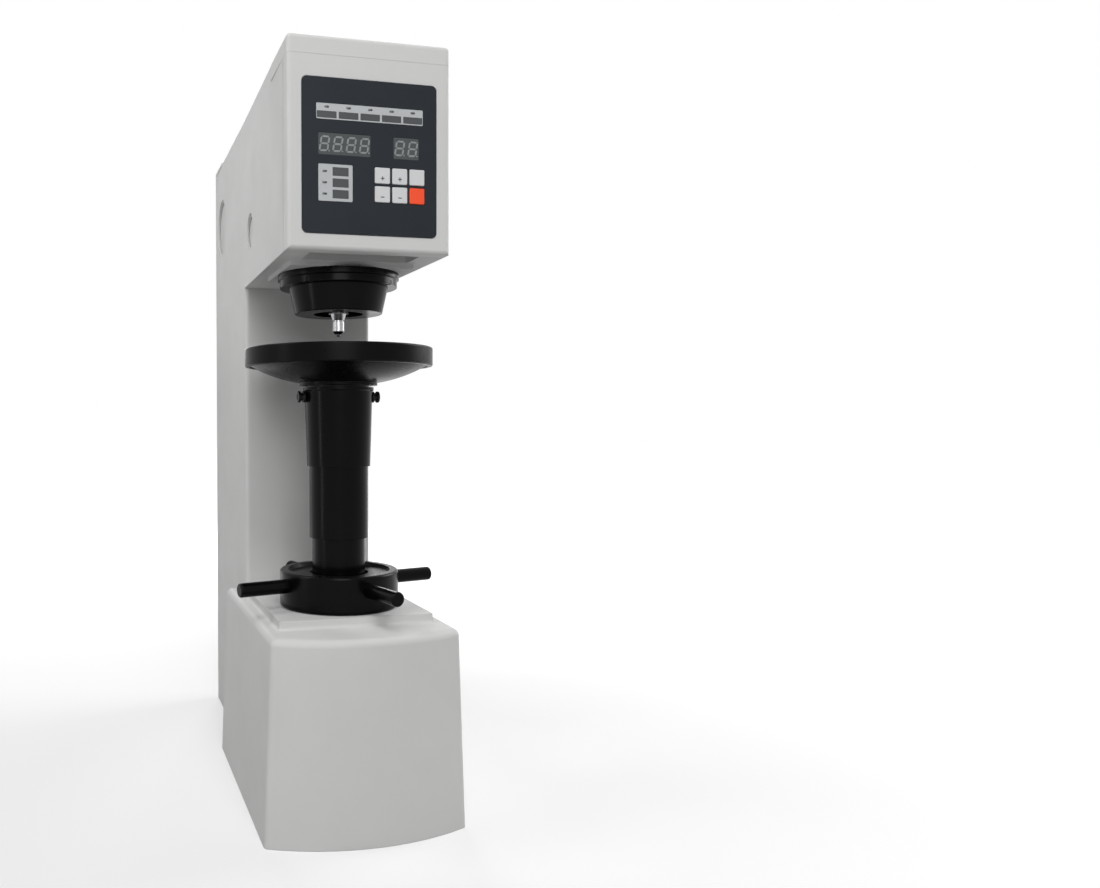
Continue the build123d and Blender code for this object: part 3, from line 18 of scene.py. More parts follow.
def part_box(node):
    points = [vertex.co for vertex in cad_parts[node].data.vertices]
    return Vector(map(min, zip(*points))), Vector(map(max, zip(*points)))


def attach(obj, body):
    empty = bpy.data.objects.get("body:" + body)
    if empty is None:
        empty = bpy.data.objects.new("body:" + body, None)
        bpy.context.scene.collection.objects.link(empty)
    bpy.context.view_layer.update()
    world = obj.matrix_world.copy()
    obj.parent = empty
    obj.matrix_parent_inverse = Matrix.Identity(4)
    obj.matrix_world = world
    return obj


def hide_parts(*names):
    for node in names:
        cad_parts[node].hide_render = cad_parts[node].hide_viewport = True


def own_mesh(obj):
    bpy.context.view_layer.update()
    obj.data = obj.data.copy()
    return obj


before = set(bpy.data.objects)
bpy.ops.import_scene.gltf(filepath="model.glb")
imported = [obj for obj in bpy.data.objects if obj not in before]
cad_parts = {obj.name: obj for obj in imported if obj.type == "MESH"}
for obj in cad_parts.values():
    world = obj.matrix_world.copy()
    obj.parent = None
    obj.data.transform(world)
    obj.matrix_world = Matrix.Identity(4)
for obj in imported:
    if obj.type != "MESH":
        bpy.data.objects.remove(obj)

log = logging.getLogger("hardness_tester")

MM = 0.001
# Points closer than this, in metres, are one point.
WELD = 0.000001
# Share of a bevel that its steeper first step takes.
BEVEL_SHOULDER = 0.3

Point = tuple[float, float]
Point3 = tuple[float, float, float]
Colour = tuple[float, float, float, float]
Output = bpy.types.NodeSocket
Node = bpy.types.Node
Outputs = bpy.types.NodeOutputs
Tree = bpy.types.NodeTree
Piece = bpy.types.Object


def linear(red: int, green: int, blue: int) -> Colour:
    """Turns a paint colour from 8-bit screen values to linear light.

    Args:
        red: Red, 0 to 255.
        green: Green, 0 to 255.
        blue: Blue, 0 to 255.

    Returns:
        The colour in linear light, with an alpha of one.
    """

    def channel(value: int) -> float:
        """Turns one screen value to linear light."""
        share = value / 255.0
        if share <= 0.04045:
            return share / 12.92
        return ((share + 0.055) / 1.055) ** 2.4

    return (channel(red), channel(green), channel(blue), 1.0)


def put(name: str, data: bpy.types.ID) -> Piece:
    """Makes an object from a mesh, a light or a camera, and puts it in the scene."""
    piece = bpy.data.objects.new(name, data)
    bpy.context.scene.collection.objects.link(piece)
    return piece


# ---- node trees
class Graph:
    """Adds and joins nodes in one node tree."""

    def __init__(self, tree: Tree) -> None:
        """Wraps the tree that the nodes go into."""
        self.tree = tree

    @classmethod
    def emptied(cls, owner: bpy.types.ID) -> "Graph":
        """Wraps the emptied tree of a material or a world."""
        owner.use_nodes = True
        owner.node_tree.nodes.clear()
        return cls(owner.node_tree)

    def add(self, kind: str, *values: object, **settings: object) -> Node:
        """Adds one node.

        Args:
            kind: Type name of the node.
            *values: Sockets to link or plain values for its inputs, in order; None skips one.
            **settings: Properties of the node to set.

        Returns:
            The new node.
        """
        node = self.tree.nodes.new(kind)
        for name, setting in settings.items():
            setattr(node, name, setting)
        for target, value in zip(node.inputs, values):
            if isinstance(value, Output):
                self.join(value, target)
            elif value is not None:
                target.default_value = value
        return node

    def join(self, source: Output, target: Output) -> None:
        """Links an output to an input."""
        self.tree.links.new(source, target)

    def maths(self, operation: str, first: object, second: object, clamp: bool = False) -> Output:
        """Adds a Math node of two sockets or numbers."""
        return self.add("ShaderNodeMath", first, second, operation=operation, use_clamp=clamp).outputs[0]

    def vector(self, operation: str, first: object, second: object = None) -> Outputs:
        """Adds a Vector Math node of one or two sockets or vectors."""
        return self.add("ShaderNodeVectorMath", first, second, operation=operation).outputs

    def parts(self, vector: Output) -> Outputs:
        """Splits a vector into X, Y and Z."""
        return self.add("ShaderNodeSeparateXYZ", vector).outputs

    def normal(self) -> Output:
        """Adds the normal of the surface."""
        return self.add("ShaderNodeNewGeometry").outputs["Normal"]

    def place(self) -> Output:
        """Adds the place on the object, in metres."""
        return self.add("ShaderNodeTexCoord").outputs["Object"]

    def span(
        self, value: Output, low: float, high: float, to_low: float = 0.0, to_high: float = 1.0
    ) -> Output:
        """Maps a value from one range to another, clamped."""
        return self.add("ShaderNodeMapRange", value, low, high, to_low, to_high, clamp=True).outputs[0]

    def noise(self, place: Output, scale: object, detail: float, fineness: float) -> Output:
        """Adds a grey noise with waves per metre, octaves, and the strength of the finer ones."""
        return self.add("ShaderNodeTexNoise", place, None, scale, detail, fineness).outputs["Fac"]

    def blend(self, factor: Output, first: object, second: object) -> Output:
        """Blends two colours, given the share of the second."""
        before_colours = (None,) * 5
        node = self.add("ShaderNodeMix", factor, *before_colours, first, second, data_type="RGBA")
        return node.outputs[2]

    def bump(self, height: Output, strength: float, distance: float, normal: Output) -> Output:
        """Adds a bump of a height, a strength and a depth in metres on a normal."""
        return self.add("ShaderNodeBump", strength, distance, None, height, normal).outputs[0]


class Effects:
    """The effects that more than one finish uses, each a node group that is built once."""

    def __init__(self) -> None:
        """Starts with no group built."""
        self.built: dict[str, Tree] = {}

    def group(
        self, name: str, inputs: dict[str, float | Point3],
        draw: Callable[[Graph, Outputs], dict[str, Output]],
    ) -> Tree:
        """Builds a group, or returns the one that is there.

        Args:
            name: Name of the group.
            inputs: Its inputs and what they hold at first, a number or a vector.
            draw: Fills the group, given the graph and the inputs, and returns its outputs.

        Returns:
            The group.
        """
        if name not in self.built:
            tree = bpy.data.node_groups.new(name, "ShaderNodeTree")
            for key, value in inputs.items():
                kind = "NodeSocketVector" if isinstance(value, tuple) else "NodeSocketFloat"
                made = tree.interface.new_socket(name=key, in_out="INPUT", socket_type=kind)
                made.default_value = value
            graph = Graph(tree)
            results = draw(graph, graph.add("NodeGroupInput").outputs)
            for key, value in results.items():
                kind = "NodeSocketVector" if value.type == "VECTOR" else "NodeSocketFloat"
                tree.interface.new_socket(name=key, in_out="OUTPUT", socket_type=kind)
            graph.add("NodeGroupOutput", *results.values())
            self.built[name] = tree
        return self.built[name]

    def place(self, graph: Graph, tree: Tree, **values: float | Point3) -> Node:
        """Places a group in a material.

        Args:
            graph: Graph of the material.
            tree: The group.
            **values: Inputs to set, with an underscore for each space.

        Returns:
            The group node.
        """
        node = graph.add("ShaderNodeGroup", node_tree=tree)
        for name, value in values.items():
            node.inputs[name.replace("_", " ")].default_value = value
        return node

    def skin(self) -> Tree:
        """Surface of sprayed or moulded parts: fine peel on slow waves, and a mottled tone."""

        def draw(graph: Graph, given: Outputs) -> dict[str, Output]:
            """Fills the group."""
            place = graph.place()
            peel = graph.noise(place, given["Peel Scale"], detail=2.0, fineness=0.45)
            wave = graph.noise(place, given["Wave Scale"], detail=1.0, fineness=0.4)
            share = graph.maths("MULTIPLY", wave, given["Wave Share"])
            slow = graph.maths("MULTIPLY", given["Wave Scale"], 0.6)
            mottle = graph.noise(place, slow, detail=3.0, fineness=0.6)
            return {"Height": graph.maths("ADD", peel, share), "Tone": graph.span(mottle, 0.3, 0.7)}

        return self.group(
            "sprayed_skin", {"Peel Scale": 700.0, "Wave Scale": 22.0, "Wave Share": 6.0}, draw
        )

    def edges(self) -> Tree:
        """Worn edges: a broken mask along edges, and a normal that rounds them."""

        def draw(graph: Graph, given: Outputs) -> dict[str, Output]:
            """Fills the group."""
            rounded = graph.add("ShaderNodeBevel", given["Radius"], samples=4).outputs["Normal"]
            facing = graph.vector("DOT_PRODUCT", rounded, graph.normal())["Value"]
            broken = graph.noise(graph.place(), given["Break Scale"], detail=4.0, fineness=0.7)
            amount = graph.maths("MULTIPLY", graph.span(broken, 0.42, 0.62), given["Amount"])
            mask = graph.maths("MULTIPLY", graph.span(facing, 0.995, 0.80), amount, clamp=True)
            return {"Mask": mask, "Normal": rounded}

        return self.group("worn_edges", {"Radius": 0.0008, "Break Scale": 60.0, "Amount": 0.5}, draw)

    def handled(self) -> Tree:
        """Smudges and settled dust: a patchy value and a mask that lies on upward faces."""

        def draw(graph: Graph, given: Outputs) -> dict[str, Output]:
            """Fills the group."""
            place = graph.place()
            smear = graph.span(graph.noise(place, given["Smear Scale"], detail=4.0, fineness=0.62), 0.35, 0.7)
            upward = graph.span(graph.parts(graph.normal())["Z"], 0.6, 1.0)
            specks = graph.noise(place, given["Dust Scale"], detail=5.0, fineness=0.75)
            dust = graph.maths("MULTIPLY", upward, graph.span(specks, 0.48, 0.75), clamp=True)
            return {"Smear": smear, "Dust": dust}

        return self.group("handling_marks", {"Smear Scale": 24.0, "Dust Scale": 160.0}, draw)

    def turned(self) -> Tree:
        """Fine rings that a lathe tool leaves, about the spindle's axis."""

        def draw(graph: Graph, given: Outputs) -> dict[str, Output]:
            """Fills the group."""
            place = graph.place()
            flat = graph.vector("MULTIPLY", place, (1.0, 1.0, 0.0))["Vector"]
            radius = graph.vector("LENGTH", flat)["Value"]
            lines = graph.add("ShaderNodeCombineXYZ", radius, graph.parts(place)["Z"]).outputs[0]
            return {"Height": graph.noise(lines, given["Ring Scale"], detail=3.0, fineness=0.7)}

        return self.group("turned_rings", {"Ring Scale": 1800.0}, draw)

    def brushed(self) -> Tree:
        """Straight fine grain of drawn, ground or brushed metal."""

        def draw(graph: Graph, given: Outputs) -> dict[str, Output]:
            """Fills the group."""
            stretched = graph.vector("MULTIPLY", graph.place(), given["Stretch"])["Vector"]
            grain = graph.noise(stretched, given["Grain Scale"], detail=3.0, fineness=0.65)
            return {"Height": grain, "Tone": graph.span(grain, 0.3, 0.7)}

        return self.group("brushed_grain", {"Stretch": (0.0, 0.0, 0.0), "Grain Scale": 1500.0}, draw)


# ---- finishes
# Roughness that a full cover of dust adds.
DUST_ROUGHENS = 0.4


class Grain(Enum):
    """What the surface of a finish shows from close by."""

    SPRAYED = "sprayed"
    TURNED = "turned"
    BRUSHED = "brushed"
    MOULDED = "moulded"


@dataclass(frozen=True)
class Finish:
    """One finish: its colour, its gloss, and the grain, wear and dust that lie on it."""

    name: str
    colour: Colour
    roughness: float
    grain: Grain = Grain.MOULDED
    metallic: float = 0.0
    specular: float = 0.5
    coat: float = 0.0
    coat_roughness: float = 0.1
    peel_scale: float = 900.0
    wave_scale: float = 22.0
    wave_share: float = 6.0
    depth: float = 0.00001
    strength: float = 0.4
    mottle: float = 0.05
    smear: float = 0.10
    dust: float = 0.0
    dust_colour: Colour = (0.55, 0.53, 0.50, 1.0)
    edge_radius: float = 0.0006
    wear: float = 0.0
    wear_colour: Colour = (0.4, 0.4, 0.4, 1.0)
    wear_metallic: float = 0.0
    stretch: Point3 = (1.0, 1.0, 0.03)

    def build(self, effects: Effects) -> bpy.types.Material:
        """Makes the material.

        Args:
            effects: The shared effects.

        Returns:
            The material.
        """
        material = bpy.data.materials.new(self.name)
        material.diffuse_color = self.colour
        graph = Graph.emptied(material)
        shader = graph.add("ShaderNodeBsdfPrincipled")
        graph.add("ShaderNodeOutputMaterial", shader.outputs[0])
        for name, value in (
            ("Metallic", self.metallic), ("Specular IOR Level", self.specular),
            ("Coat Weight", self.coat), ("Coat Roughness", self.coat_roughness),
        ):
            shader.inputs[name].default_value = value

        height, tone = self.surface(graph, effects)
        marks = effects.place(graph, effects.handled())
        edges = effects.place(graph, effects.edges(), Radius=self.edge_radius, Amount=self.wear)
        dark, light = (
            tuple(min(1.0, value * level) for value in self.colour[:3]) + (1.0,)
            for level in (1.0 - self.mottle, 1.0 + self.mottle)
        )
        colour = graph.blend(tone, dark, light)
        if self.wear:
            colour = graph.blend(edges.outputs["Mask"], colour, self.wear_colour)
        smooth, rougher = self.roughness - self.smear / 2, self.roughness + self.smear / 2
        rough = graph.span(marks.outputs["Smear"], 0.0, 1.0, smooth, rougher)
        if self.dust:
            cover = graph.maths("MULTIPLY", marks.outputs["Dust"], self.dust)
            colour = graph.blend(cover, colour, self.dust_colour)
            rough = graph.maths("ADD", rough, graph.maths("MULTIPLY", cover, DUST_ROUGHENS), clamp=True)
        graph.join(colour, shader.inputs["Base Color"])
        graph.join(rough, shader.inputs["Roughness"])
        if self.wear and self.wear_metallic:
            metal = graph.maths("MULTIPLY", edges.outputs["Mask"], self.wear_metallic, clamp=True)
            graph.join(metal, shader.inputs["Metallic"])
        normal = graph.bump(height, self.strength, self.depth, edges.outputs["Normal"])
        graph.join(normal, shader.inputs["Normal"])
        return material

    def surface(self, graph: Graph, effects: Effects) -> tuple[Output, Output]:
        """Adds the grain of the finish.

        Args:
            graph: Graph of the material.
            effects: The shared effects.

        Returns:
            Sockets that carry the height and the tone.
        """
        skin = effects.place(
            graph, effects.skin(),
            Peel_Scale=self.peel_scale, Wave_Scale=self.wave_scale, Wave_Share=self.wave_share,
        )
        if self.grain is Grain.TURNED:
            rings = effects.place(graph, effects.turned(), Ring_Scale=self.peel_scale)
            return rings.outputs["Height"], skin.outputs["Tone"]
        if self.grain is Grain.BRUSHED:
            grain = effects.place(graph, effects.brushed(), Grain_Scale=self.peel_scale, Stretch=self.stretch)
            return grain.outputs["Height"], grain.outputs["Tone"]
        return skin.outputs["Height"], skin.outputs["Tone"]


WHITE: Colour = (1.0, 1.0, 1.0, 1.0)
DUST_GREY = linear(176, 172, 166)
BARE_STEEL = linear(150, 150, 150)

FINISHES: dict[str, Finish] = {
    finish.name: finish
    for finish in (
        Finish("casting_paint", linear(212, 212, 211), 0.60, Grain.SPRAYED, specular=0.25, peel_scale=520.0,
               wave_scale=16.0, wave_share=9.0, depth=0.00005, strength=0.35, mottle=0.02, dust=0.10,
               edge_radius=0.0016, wear=0.10, wear_colour=linear(176, 175, 172)),
        Finish("cover_paint", linear(212, 212, 211), 0.55, Grain.SPRAYED, specular=0.28, wave_scale=10.0,
               wave_share=3.0, depth=0.00003, strength=0.3, mottle=0.015, dust=0.08, edge_radius=0.0010,
               wear=0.12, wear_colour=linear(168, 167, 165)),
        Finish("black_enamel", linear(6, 6, 7), 0.22, Grain.TURNED, specular=0.07, strength=0.25,
               mottle=0.10, dust=0.03, dust_colour=DUST_GREY, edge_radius=0.0009, wear=0.30,
               wear_colour=linear(92, 92, 92)),
        Finish("blued_anvil", linear(8, 8, 9), 0.30, Grain.TURNED, specular=0.06, peel_scale=1500.0,
               depth=0.000015, mottle=0.12, smear=0.12, dust=0.06, dust_colour=DUST_GREY, edge_radius=0.0009,
               wear=0.55, wear_colour=linear(120, 120, 120), wear_metallic=0.6),
        Finish("black_oxide_steel", linear(16, 16, 18), 0.32, specular=0.15, peel_scale=2600.0, strength=0.3,
               mottle=0.15, smear=0.14, dust=0.05, edge_radius=0.0005, wear=0.6,
               wear_colour=linear(140, 140, 140), wear_metallic=0.8),
        Finish("bright_steel", linear(196, 197, 199), 0.26, Grain.TURNED, metallic=1.0, peel_scale=2600.0,
               strength=0.35, smear=0.12, edge_radius=0.0004),
        Finish("machined_steel", linear(150, 151, 153), 0.38, Grain.BRUSHED, metallic=1.0, peel_scale=1600.0,
               depth=0.00002, strength=0.35, mottle=0.08, smear=0.16, dust=0.05),
        Finish("polished_chrome", linear(168, 168, 170), 0.16, Grain.TURNED, metallic=1.0, peel_scale=3800.0,
               depth=0.000006, strength=0.25, mottle=0.02, smear=0.06, edge_radius=0.0004),
        Finish("zinc_steel", linear(186, 187, 190), 0.30, metallic=1.0, peel_scale=2400.0, strength=0.3,
               mottle=0.08, smear=0.18, edge_radius=0.0003),
        Finish("spring_steel", linear(96, 97, 102), 0.32, metallic=1.0, peel_scale=3000.0, strength=0.3,
               mottle=0.12, smear=0.15),
        Finish("bronze", linear(176, 128, 70), 0.32, Grain.TURNED, metallic=1.0, peel_scale=2200.0,
               depth=0.00002, strength=0.35, mottle=0.08, smear=0.15, edge_radius=0.0004),
        Finish("aluminium_cell", linear(188, 190, 193), 0.36, Grain.BRUSHED, metallic=1.0, peel_scale=1800.0,
               strength=0.3, smear=0.12),
        Finish("motor_grey", linear(92, 95, 99), 0.45, Grain.SPRAYED, peel_scale=1100.0, depth=0.00003,
               smear=0.12, dust=0.12, wear=0.25, wear_colour=BARE_STEEL),
        Finish("transformer_steel", linear(118, 112, 104), 0.5, Grain.BRUSHED, metallic=0.8, depth=0.00008,
               strength=0.5, mottle=0.15, smear=0.15, stretch=(0.02, 0.02, 2.0)),
        Finish("panel_film", linear(42, 46, 51), 0.42, specular=0.10, peel_scale=4200.0, wave_scale=40.0,
               wave_share=2.0, depth=0.000012, strength=0.35, mottle=0.035, edge_radius=0.0003),
        Finish("display_window", linear(70, 75, 76), 0.16, specular=0.45, peel_scale=5200.0, wave_share=1.0,
               depth=0.000004, strength=0.2, smear=0.08, edge_radius=0.0003),
        Finish("strip_plastic", linear(186, 189, 191), 0.38, peel_scale=4200.0, depth=0.000008, strength=0.3,
               mottle=0.02, smear=0.08, edge_radius=0.0003),
        Finish("circuit_board", linear(30, 86, 52), 0.30, coat=0.3, peel_scale=1200.0, mottle=0.10),
        Finish("key_grey", linear(214, 215, 216), 0.36, peel_scale=4800.0, strength=0.35, mottle=0.02,
               edge_radius=0.0004, wear=0.10, wear_colour=linear(190, 190, 188)),
        Finish("key_orange", linear(250, 78, 30), 0.36, peel_scale=4800.0, strength=0.35, mottle=0.03,
               edge_radius=0.0004, wear=0.10, wear_colour=linear(236, 110, 70)),
        Finish("black_plastic", linear(24, 24, 25), 0.36, peel_scale=2600.0, depth=0.00002, strength=0.45,
               mottle=0.08, smear=0.12, dust=0.08, dust_colour=DUST_GREY, edge_radius=0.0005),
        Finish("print_dark", linear(60, 62, 64), 0.5, peel_scale=5200.0, depth=0.000004, mottle=0.06,
               smear=0.08),
        Finish("label_window", linear(74, 77, 79), 0.22, specular=0.4, peel_scale=5200.0, depth=0.000004,
               mottle=0.06, smear=0.08),
        Finish("unlit_lamp", linear(58, 60, 58), 0.14, coat=0.5, coat_roughness=0.05, peel_scale=3600.0,
               depth=0.000004, mottle=0.08, smear=0.08),
        Finish("unlit_segment", linear(138, 142, 142), 0.3, peel_scale=3600.0, depth=0.000004, smear=0.08),
    )
}


class Wardrobe:
    """Builds each finish once and puts it on the pieces."""

    def __init__(self) -> None:
        """Starts with the shared effects and no material."""
        self.effects = Effects()
        self.made: dict[str, bpy.types.Material] = {}

    def material(self, name: str) -> bpy.types.Material:
        """Returns the material of a finish, building it the first time."""
        if name not in self.made:
            self.made[name] = FINISHES[name].build(self.effects)
        return self.made[name]

    def dress(self, piece: Piece, name: str) -> None:
        """Puts one finish on every material slot of a piece.

        Args:
            piece: The piece.
            name: Name of the finish.
        """
        material = self.material(name)
        if not piece.material_slots:
            piece.data.materials.append(material)
        for slot in piece.material_slots:
            slot.material = material

    def dress_nodes(self, finish: str, *nodes: str) -> None:
        """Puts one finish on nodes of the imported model."""
        for name in nodes:
            self.dress(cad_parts[name], finish)
            log.info("%s wears %s", name, finish)


# ---- mesh tools
def outline_of_slot(width: float, height: float, radius: float, steps: int = 6) -> list[Point]:
    """Corners of a rectangle with rounded corners.

    Args:
        width: Size across.
        height: Size up.
        radius: Radius of the corners.
        steps: Facets of each corner.

    Returns:
        Points, counter-clockwise.
    """
    radius = min(radius, width / 2, height / 2)
    points = []
    for corner, (sign_u, sign_v) in enumerate(((1, 1), (-1, 1), (-1, -1), (1, -1))):
        for step in range(steps + 1):
            angle = math.radians(90 * corner + 90 * step / steps)
            points.append((
                sign_u * (width / 2 - radius) + radius * math.cos(angle),
                sign_v * (height / 2 - radius) + radius * math.sin(angle),
            ))
    return points


def outline_of_circle(radius: float, steps: int) -> list[Point]:
    """Points of a circle, counter-clockwise."""
    turns = (2 * math.pi * step / steps for step in range(steps))
    return [(radius * math.cos(turn), radius * math.sin(turn)) for turn in turns]


@dataclass
class Facing:
    """A flat face that printed or moulded detail lies on.

    The first direction runs across, the second up and the third out of the face.
    """

    origin: Vector
    across: Vector
    up: Vector
    out: Vector

    def at(self, u: float, v: float, w: float) -> Vector:
        """Returns the point of the frame, in metres, at a place on the face, in millimetres."""
        return (self.origin + self.across * u + self.up * v + self.out * w) * MM


class Mesh:
    """Gathers faces and turns them into one piece."""

    def __init__(self) -> None:
        """Starts with no face."""
        self.work = bmesh.new()

    def ring(self, places: Iterable[Sequence[float]]) -> list[bmesh.types.BMVert]:
        """Adds points, in metres, that follow each other round a ring."""
        return [self.work.verts.new(place) for place in places]

    def bridge(self, lower: Sequence[bmesh.types.BMVert], upper: Sequence[bmesh.types.BMVert]) -> None:
        """Adds the faces between two rings with as many points."""
        for i in range(len(lower)):
            j = (i + 1) % len(lower)
            self.work.faces.new((lower[i], lower[j], upper[j], upper[i]))

    def plate(
        self, facing: Facing, outline: Sequence[Point], centre: Point, base: float, top: float,
        bevel: float = 0.0,
    ) -> None:
        """Adds a flat plate, with its top edge broken by a bevel.

        Args:
            facing: The face that it lies on.
            outline: Points round the plate, counter-clockwise.
            centre: Where the outline's middle lies on the face.
            base: Height of the underside over the face.
            top: Height of the top over the face.
            bevel: Width of the broken edge.
        """
        nexts = outline[1:] + outline[:1]
        levels = [(base, 0.0), (top - bevel, 0.0)]
        if bevel:
            shoulder = bevel * BEVEL_SHOULDER
            levels += [(top - shoulder, shoulder), (top, bevel)]
        rings = []
        for height, inset in levels:
            places = []
            for (u, v), before, after in zip(outline, outline[-1:] + outline[:-1], nexts):
                along = (Vector(after) - Vector(before)).normalized()
                places.append(
                    facing.at(centre[0] + u - along.y * inset, centre[1] + v + along.x * inset, height)
                )
            rings.append(self.ring(places))
        for lower, upper in zip(rings, rings[1:]):
            self.bridge(lower, upper)
        self.work.faces.new(rings[-1])
        self.work.faces.new(list(reversed(rings[0])))

    def lathe(
        self, profile: Sequence[Point], axis: Matrix, steps: int,
        ripple: Callable[[float, float], float] | None = None,
    ) -> None:
        """Turns a profile about an axis.

        Args:
            profile: Radius and height pairs; a radius of zero closes an end.
            axis: Places the turned shape; its Z is the axis.
            steps: Facets round the axis.
            ripple: Adds to the radius, given the angle and the height.
        """
        rings = []
        for radius, height in profile:
            places = []
            for turn in (2 * math.pi * step / steps for step in range(steps if radius > 0 else 1)):
                reach = radius + (ripple(turn, height) if ripple and radius > 0 else 0.0)
                places.append(axis @ (Vector((reach * math.cos(turn), reach * math.sin(turn), height)) * MM))
            rings.append(self.ring(places))
        for lower, upper in zip(rings, rings[1:]):
            if len(lower) == len(upper) > 1:
                self.bridge(lower, upper)
                continue
            for i in range(steps):
                j = (i + 1) % steps
                if len(lower) == 1:
                    self.work.faces.new((lower[0], upper[j], upper[i]))
                else:
                    self.work.faces.new((lower[i], lower[j], upper[0]))

    def finish(self, name: str, smooth_angle: float = 35.0) -> Piece:
        """Makes the piece and puts it in the scene.

        Args:
            name: Name of the piece.
            smooth_angle: Edges sharper than this many degrees stay crisp.

        Returns:
            The piece.
        """
        bmesh.ops.recalc_face_normals(self.work, faces=self.work.faces)
        mesh = bpy.data.meshes.new(name)
        self.work.to_mesh(mesh)
        self.work.free()
        mesh.shade_smooth()
        mesh.set_sharp_from_angle(angle=math.radians(smooth_angle))
        return put(name, mesh)


def node_box(name: str) -> tuple[Vector, Vector]:
    """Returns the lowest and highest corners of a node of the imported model, in metres."""
    low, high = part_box(name)
    return Vector(low), Vector(high)


@dataclass
class SubAssembly:
    """A group of pieces that is built and dressed together."""

    wardrobe: Wardrobe

    def fit(
        self, piece: Piece, body: str, slot: str, finish: str, replaces: Sequence[str] = ()
    ) -> Piece:
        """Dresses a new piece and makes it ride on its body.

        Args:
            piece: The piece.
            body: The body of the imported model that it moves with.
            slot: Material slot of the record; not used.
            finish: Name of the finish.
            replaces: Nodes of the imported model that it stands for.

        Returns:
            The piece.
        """
        self.wardrobe.dress(piece, finish)
        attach(piece, body)
        if replaces:
            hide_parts(*replaces)
        log.info("%s rides on %s in %s", piece.name, body, finish)
        return piece


# ---- sub-assemblies
@dataclass
class CastFrame(SubAssembly):
    """The painted casting with its covers, plugs and rear plate."""

    def build(self) -> None:
        """Dresses the casting and its covers."""
        self.wardrobe.dress_nodes("casting_paint", "frame_casting")
        self.wardrobe.dress_nodes("cover_paint", "panel_housing", "top_cap", "rear_lid", "rear_cover")
        self.wardrobe.dress_nodes("casting_paint", "large_side_plugs", "small_side_plugs")


